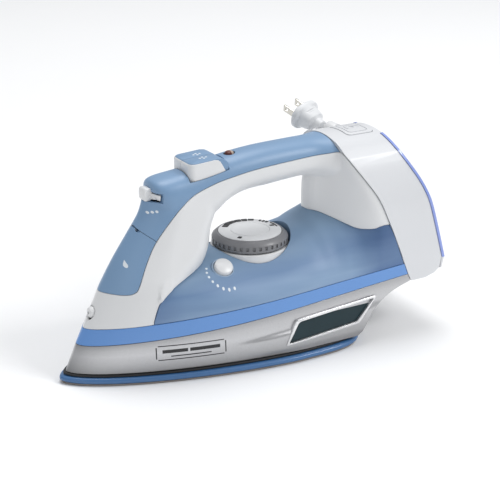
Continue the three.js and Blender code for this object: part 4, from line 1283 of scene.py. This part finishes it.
# ---- Looks ----
def tank_look():
    """Tinted clear plastic in bands by height, with soft streaks: the lighter band low down is the inner
    parts seen through it, the lighter band along the ridge is a painted sheen, and painted shade darkens its
    front and rear ends.
    """
    look = Shader("tinted_tank")
    x, _, z = look.node("SeparateXYZ", Vector=look.place).outputs
    level = look.math("SUBTRACT", z, look.math("MULTIPLY", x, 0.13))
    streak = look.noise(9, 3, stretch=(0.6, 0.6, 5))
    mixed = look.math("ADD", look.math("MULTIPLY", level, 9), look.math("MULTIPLY", streak, 0.35))
    # Bands by height: darker in the middle, lighter low down for the inner parts, and lighter along the ridge
    # as a painted sheen.
    body = look.ramp(mixed, [
        (0.52, (0.14, 0.26, 0.49)), (0.66, (0.25, 0.37, 0.54)),
        (0.80, (0.13, 0.23, 0.40)), (0.95, (0.20, 0.31, 0.45)),
    ])
    length = look.math("ADD", look.math("MULTIPLY", x, 4), 0.5)
    # Painted shade: darker towards the front end by the prow and towards the rear end under the rear leg.
    ends = look.ramp(length, [
        (0.10, (0.62, 0.68, 0.80)), (0.22, (1, 1, 1)), (0.76, (1, 1, 1)), (0.86, (0.42, 0.52, 0.66)),
    ])
    look.set(Base_Color=look.multiplied(body, ends))
    look.set(Roughness=0.5, Coat_Weight=0.3, Coat_Roughness=0.42, IOR=1.5)
    look.bump(look.noise(700, 2), 0.03, radius=0.0006)


def glass_look(name, colour):
    """Dark smooth plastic, as of a window or a lens."""
    look = Shader(name)
    look.set(Base_Color=drifting(look, colour, 0.1, scale=40))
    look.set(Roughness=0.3, Coat_Weight=0.2, Coat_Roughness=0.08, Specular_IOR_Level=0.25)
    look.bump(look.noise(500, 2), 0.02)


def satin_look(name, colour, roughness):
    """Metallic lacquer with a fine sparkle, and a painted reflection by height: brightest across its middle,
    painted darker towards its bottom and its top.
    """
    look = Shader(name)
    x, _, z = look.node("SeparateXYZ", Vector=look.place).outputs
    bottom = SKIRT_BOTTOM * MM
    top = look.math("ADD", look.math("MULTIPLY", x, 0.078), 0.0387)
    share = look.math("DIVIDE", look.math("SUBTRACT", z, bottom), look.math("SUBTRACT", top, bottom))
    # Painted reflection and shade by height, between the skirt's bottom and the band: a bright band across
    # the middle, darker below and above.
    height = look.ramp(share, [
        (0, (0.50, 0.50, 0.50)), (0.34, (0.80, 0.80, 0.80)), (0.62, (1, 1, 1)),
        (0.82, (0.90, 0.90, 0.90)), (1, (0.66, 0.66, 0.67)),
    ])
    lacquer = drifting(look, colour, 0.07, 0.35, 0.65, 2400)
    uneven = look.spread(look.noise(80), roughness - 0.04, roughness + 0.04)
    look.set(Base_Color=look.multiplied(lacquer, height), Roughness=uneven)
    look.set(Metallic=0.9, Coat_Weight=0.15, Coat_Roughness=0.2)
    look.bump(look.noise(1500, 2), 0.05, radius=0.0005)


def make_looks():
    plain("white_plastic", (0.76, 0.765, 0.77), 0.34, edge=0.0006, coat=0.25, gloss=0.25, vary=0.02)
    plain("pearl_plastic", (0.70, 0.71, 0.73), 0.36, coat=0.35, gloss=0.32, vary=0.02)
    plain("blue_plastic", (0.19, 0.32, 0.50), 0.44, grain=0.10, edge=0.0006, coat=0.25, gloss=0.35, vary=0.04)
    plain("bright_blue_plastic", (0.13, 0.30, 0.66), 0.34, edge=0.0005, coat=0.2, vary=0.03)
    plain("blue_casting", (0.05, 0.15, 0.34), 0.36, edge=0.0004, coat=0.3, vary=0.08)
    plain("sole_coating", (0.30, 0.27, 0.25), 0.38, metal=0.6, edge=0.0003, vary=0.12)
    plain("black_plastic", (0.012, 0.012, 0.013), 0.55, edge=0.0004, vary=0.2)
    plain("printed_ink", (0.03, 0.03, 0.032), 0.5, vary=0.3)
    plain("printed_white", (0.75, 0.80, 0.84), 0.5, vary=0.05)
    plain("grey_plastic", (0.20, 0.20, 0.21), 0.42, edge=0.0005, coat=0.15, vary=0.05)
    plain("lavender_plastic", (0.27, 0.35, 0.74), 0.28, edge=0.0003, coat=0.4, vary=0.04)
    plain("cord_jacket", (0.74, 0.75, 0.76), 0.42, edge=0.0004, vary=0.03)
    plain("brass", (0.62, 0.60, 0.55), 0.25, metal=1.0, edge=0.0002, vary=0.06)
    plain("steel", (0.56, 0.57, 0.58), 0.3, metal=1.0, edge=0.0003, vary=0.06)
    plain("seal_rubber", (0.32, 0.32, 0.32), 0.7, vary=0.08)
    plain("cream_plastic", (0.46, 0.37, 0.30), 0.4, vary=0.04)
    plain("board", (0.03, 0.16, 0.06), 0.5, vary=0.15)
    # Both satin looks carry the painted reflection band by height.
    satin_look("satin_metal", (0.58, 0.58, 0.59), 0.32)
    satin_look("satin_frame", (0.86, 0.86, 0.87), 0.26)
    glass_look("window_plastic", (0.008, 0.028, 0.036))
    glass_look("lens", (0.13, 0.035, 0.025))
    glass_look("clear_collar", (0.36, 0.47, 0.60))
    tank_look()


# CAD nodes that stay as they are, by the look that each gets.
KEPT_NODES = {
    "steel": "heating_element steam_chamber_cover door_pin valve_rod thermostat_shaft thermostat"
    " reel_axle reel_spring",
    "white_plastic": "fill_port spray_pump burst_pump spray_piston burst_piston thermal_fuse terminal_block"
    " brake_pawl reel_drum",
    "brass": "valve_seat brush_plate",
    "seal_rubber": "tank_seal spray_tube wire_harness",
    "board": "control_board",
    "tinted_tank": "tank_floor",
}


# ---- Assembly ----
make_looks()
add_camera()
add_studio()
add_cords()
soleplate()
sole_rim()
heat_shield()
skirt()
band()
tank()
handle()
rear_housing()
trim()
cord_collar()
retract_button()
dial()
button_block()
steam_lever()
nozzle()
self_clean()
indicator()
springs()
for look, names in KEPT_NODES.items():
    for name in names.split():
        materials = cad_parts[name].data.materials
        materials.clear()
        materials.append(looks[look])
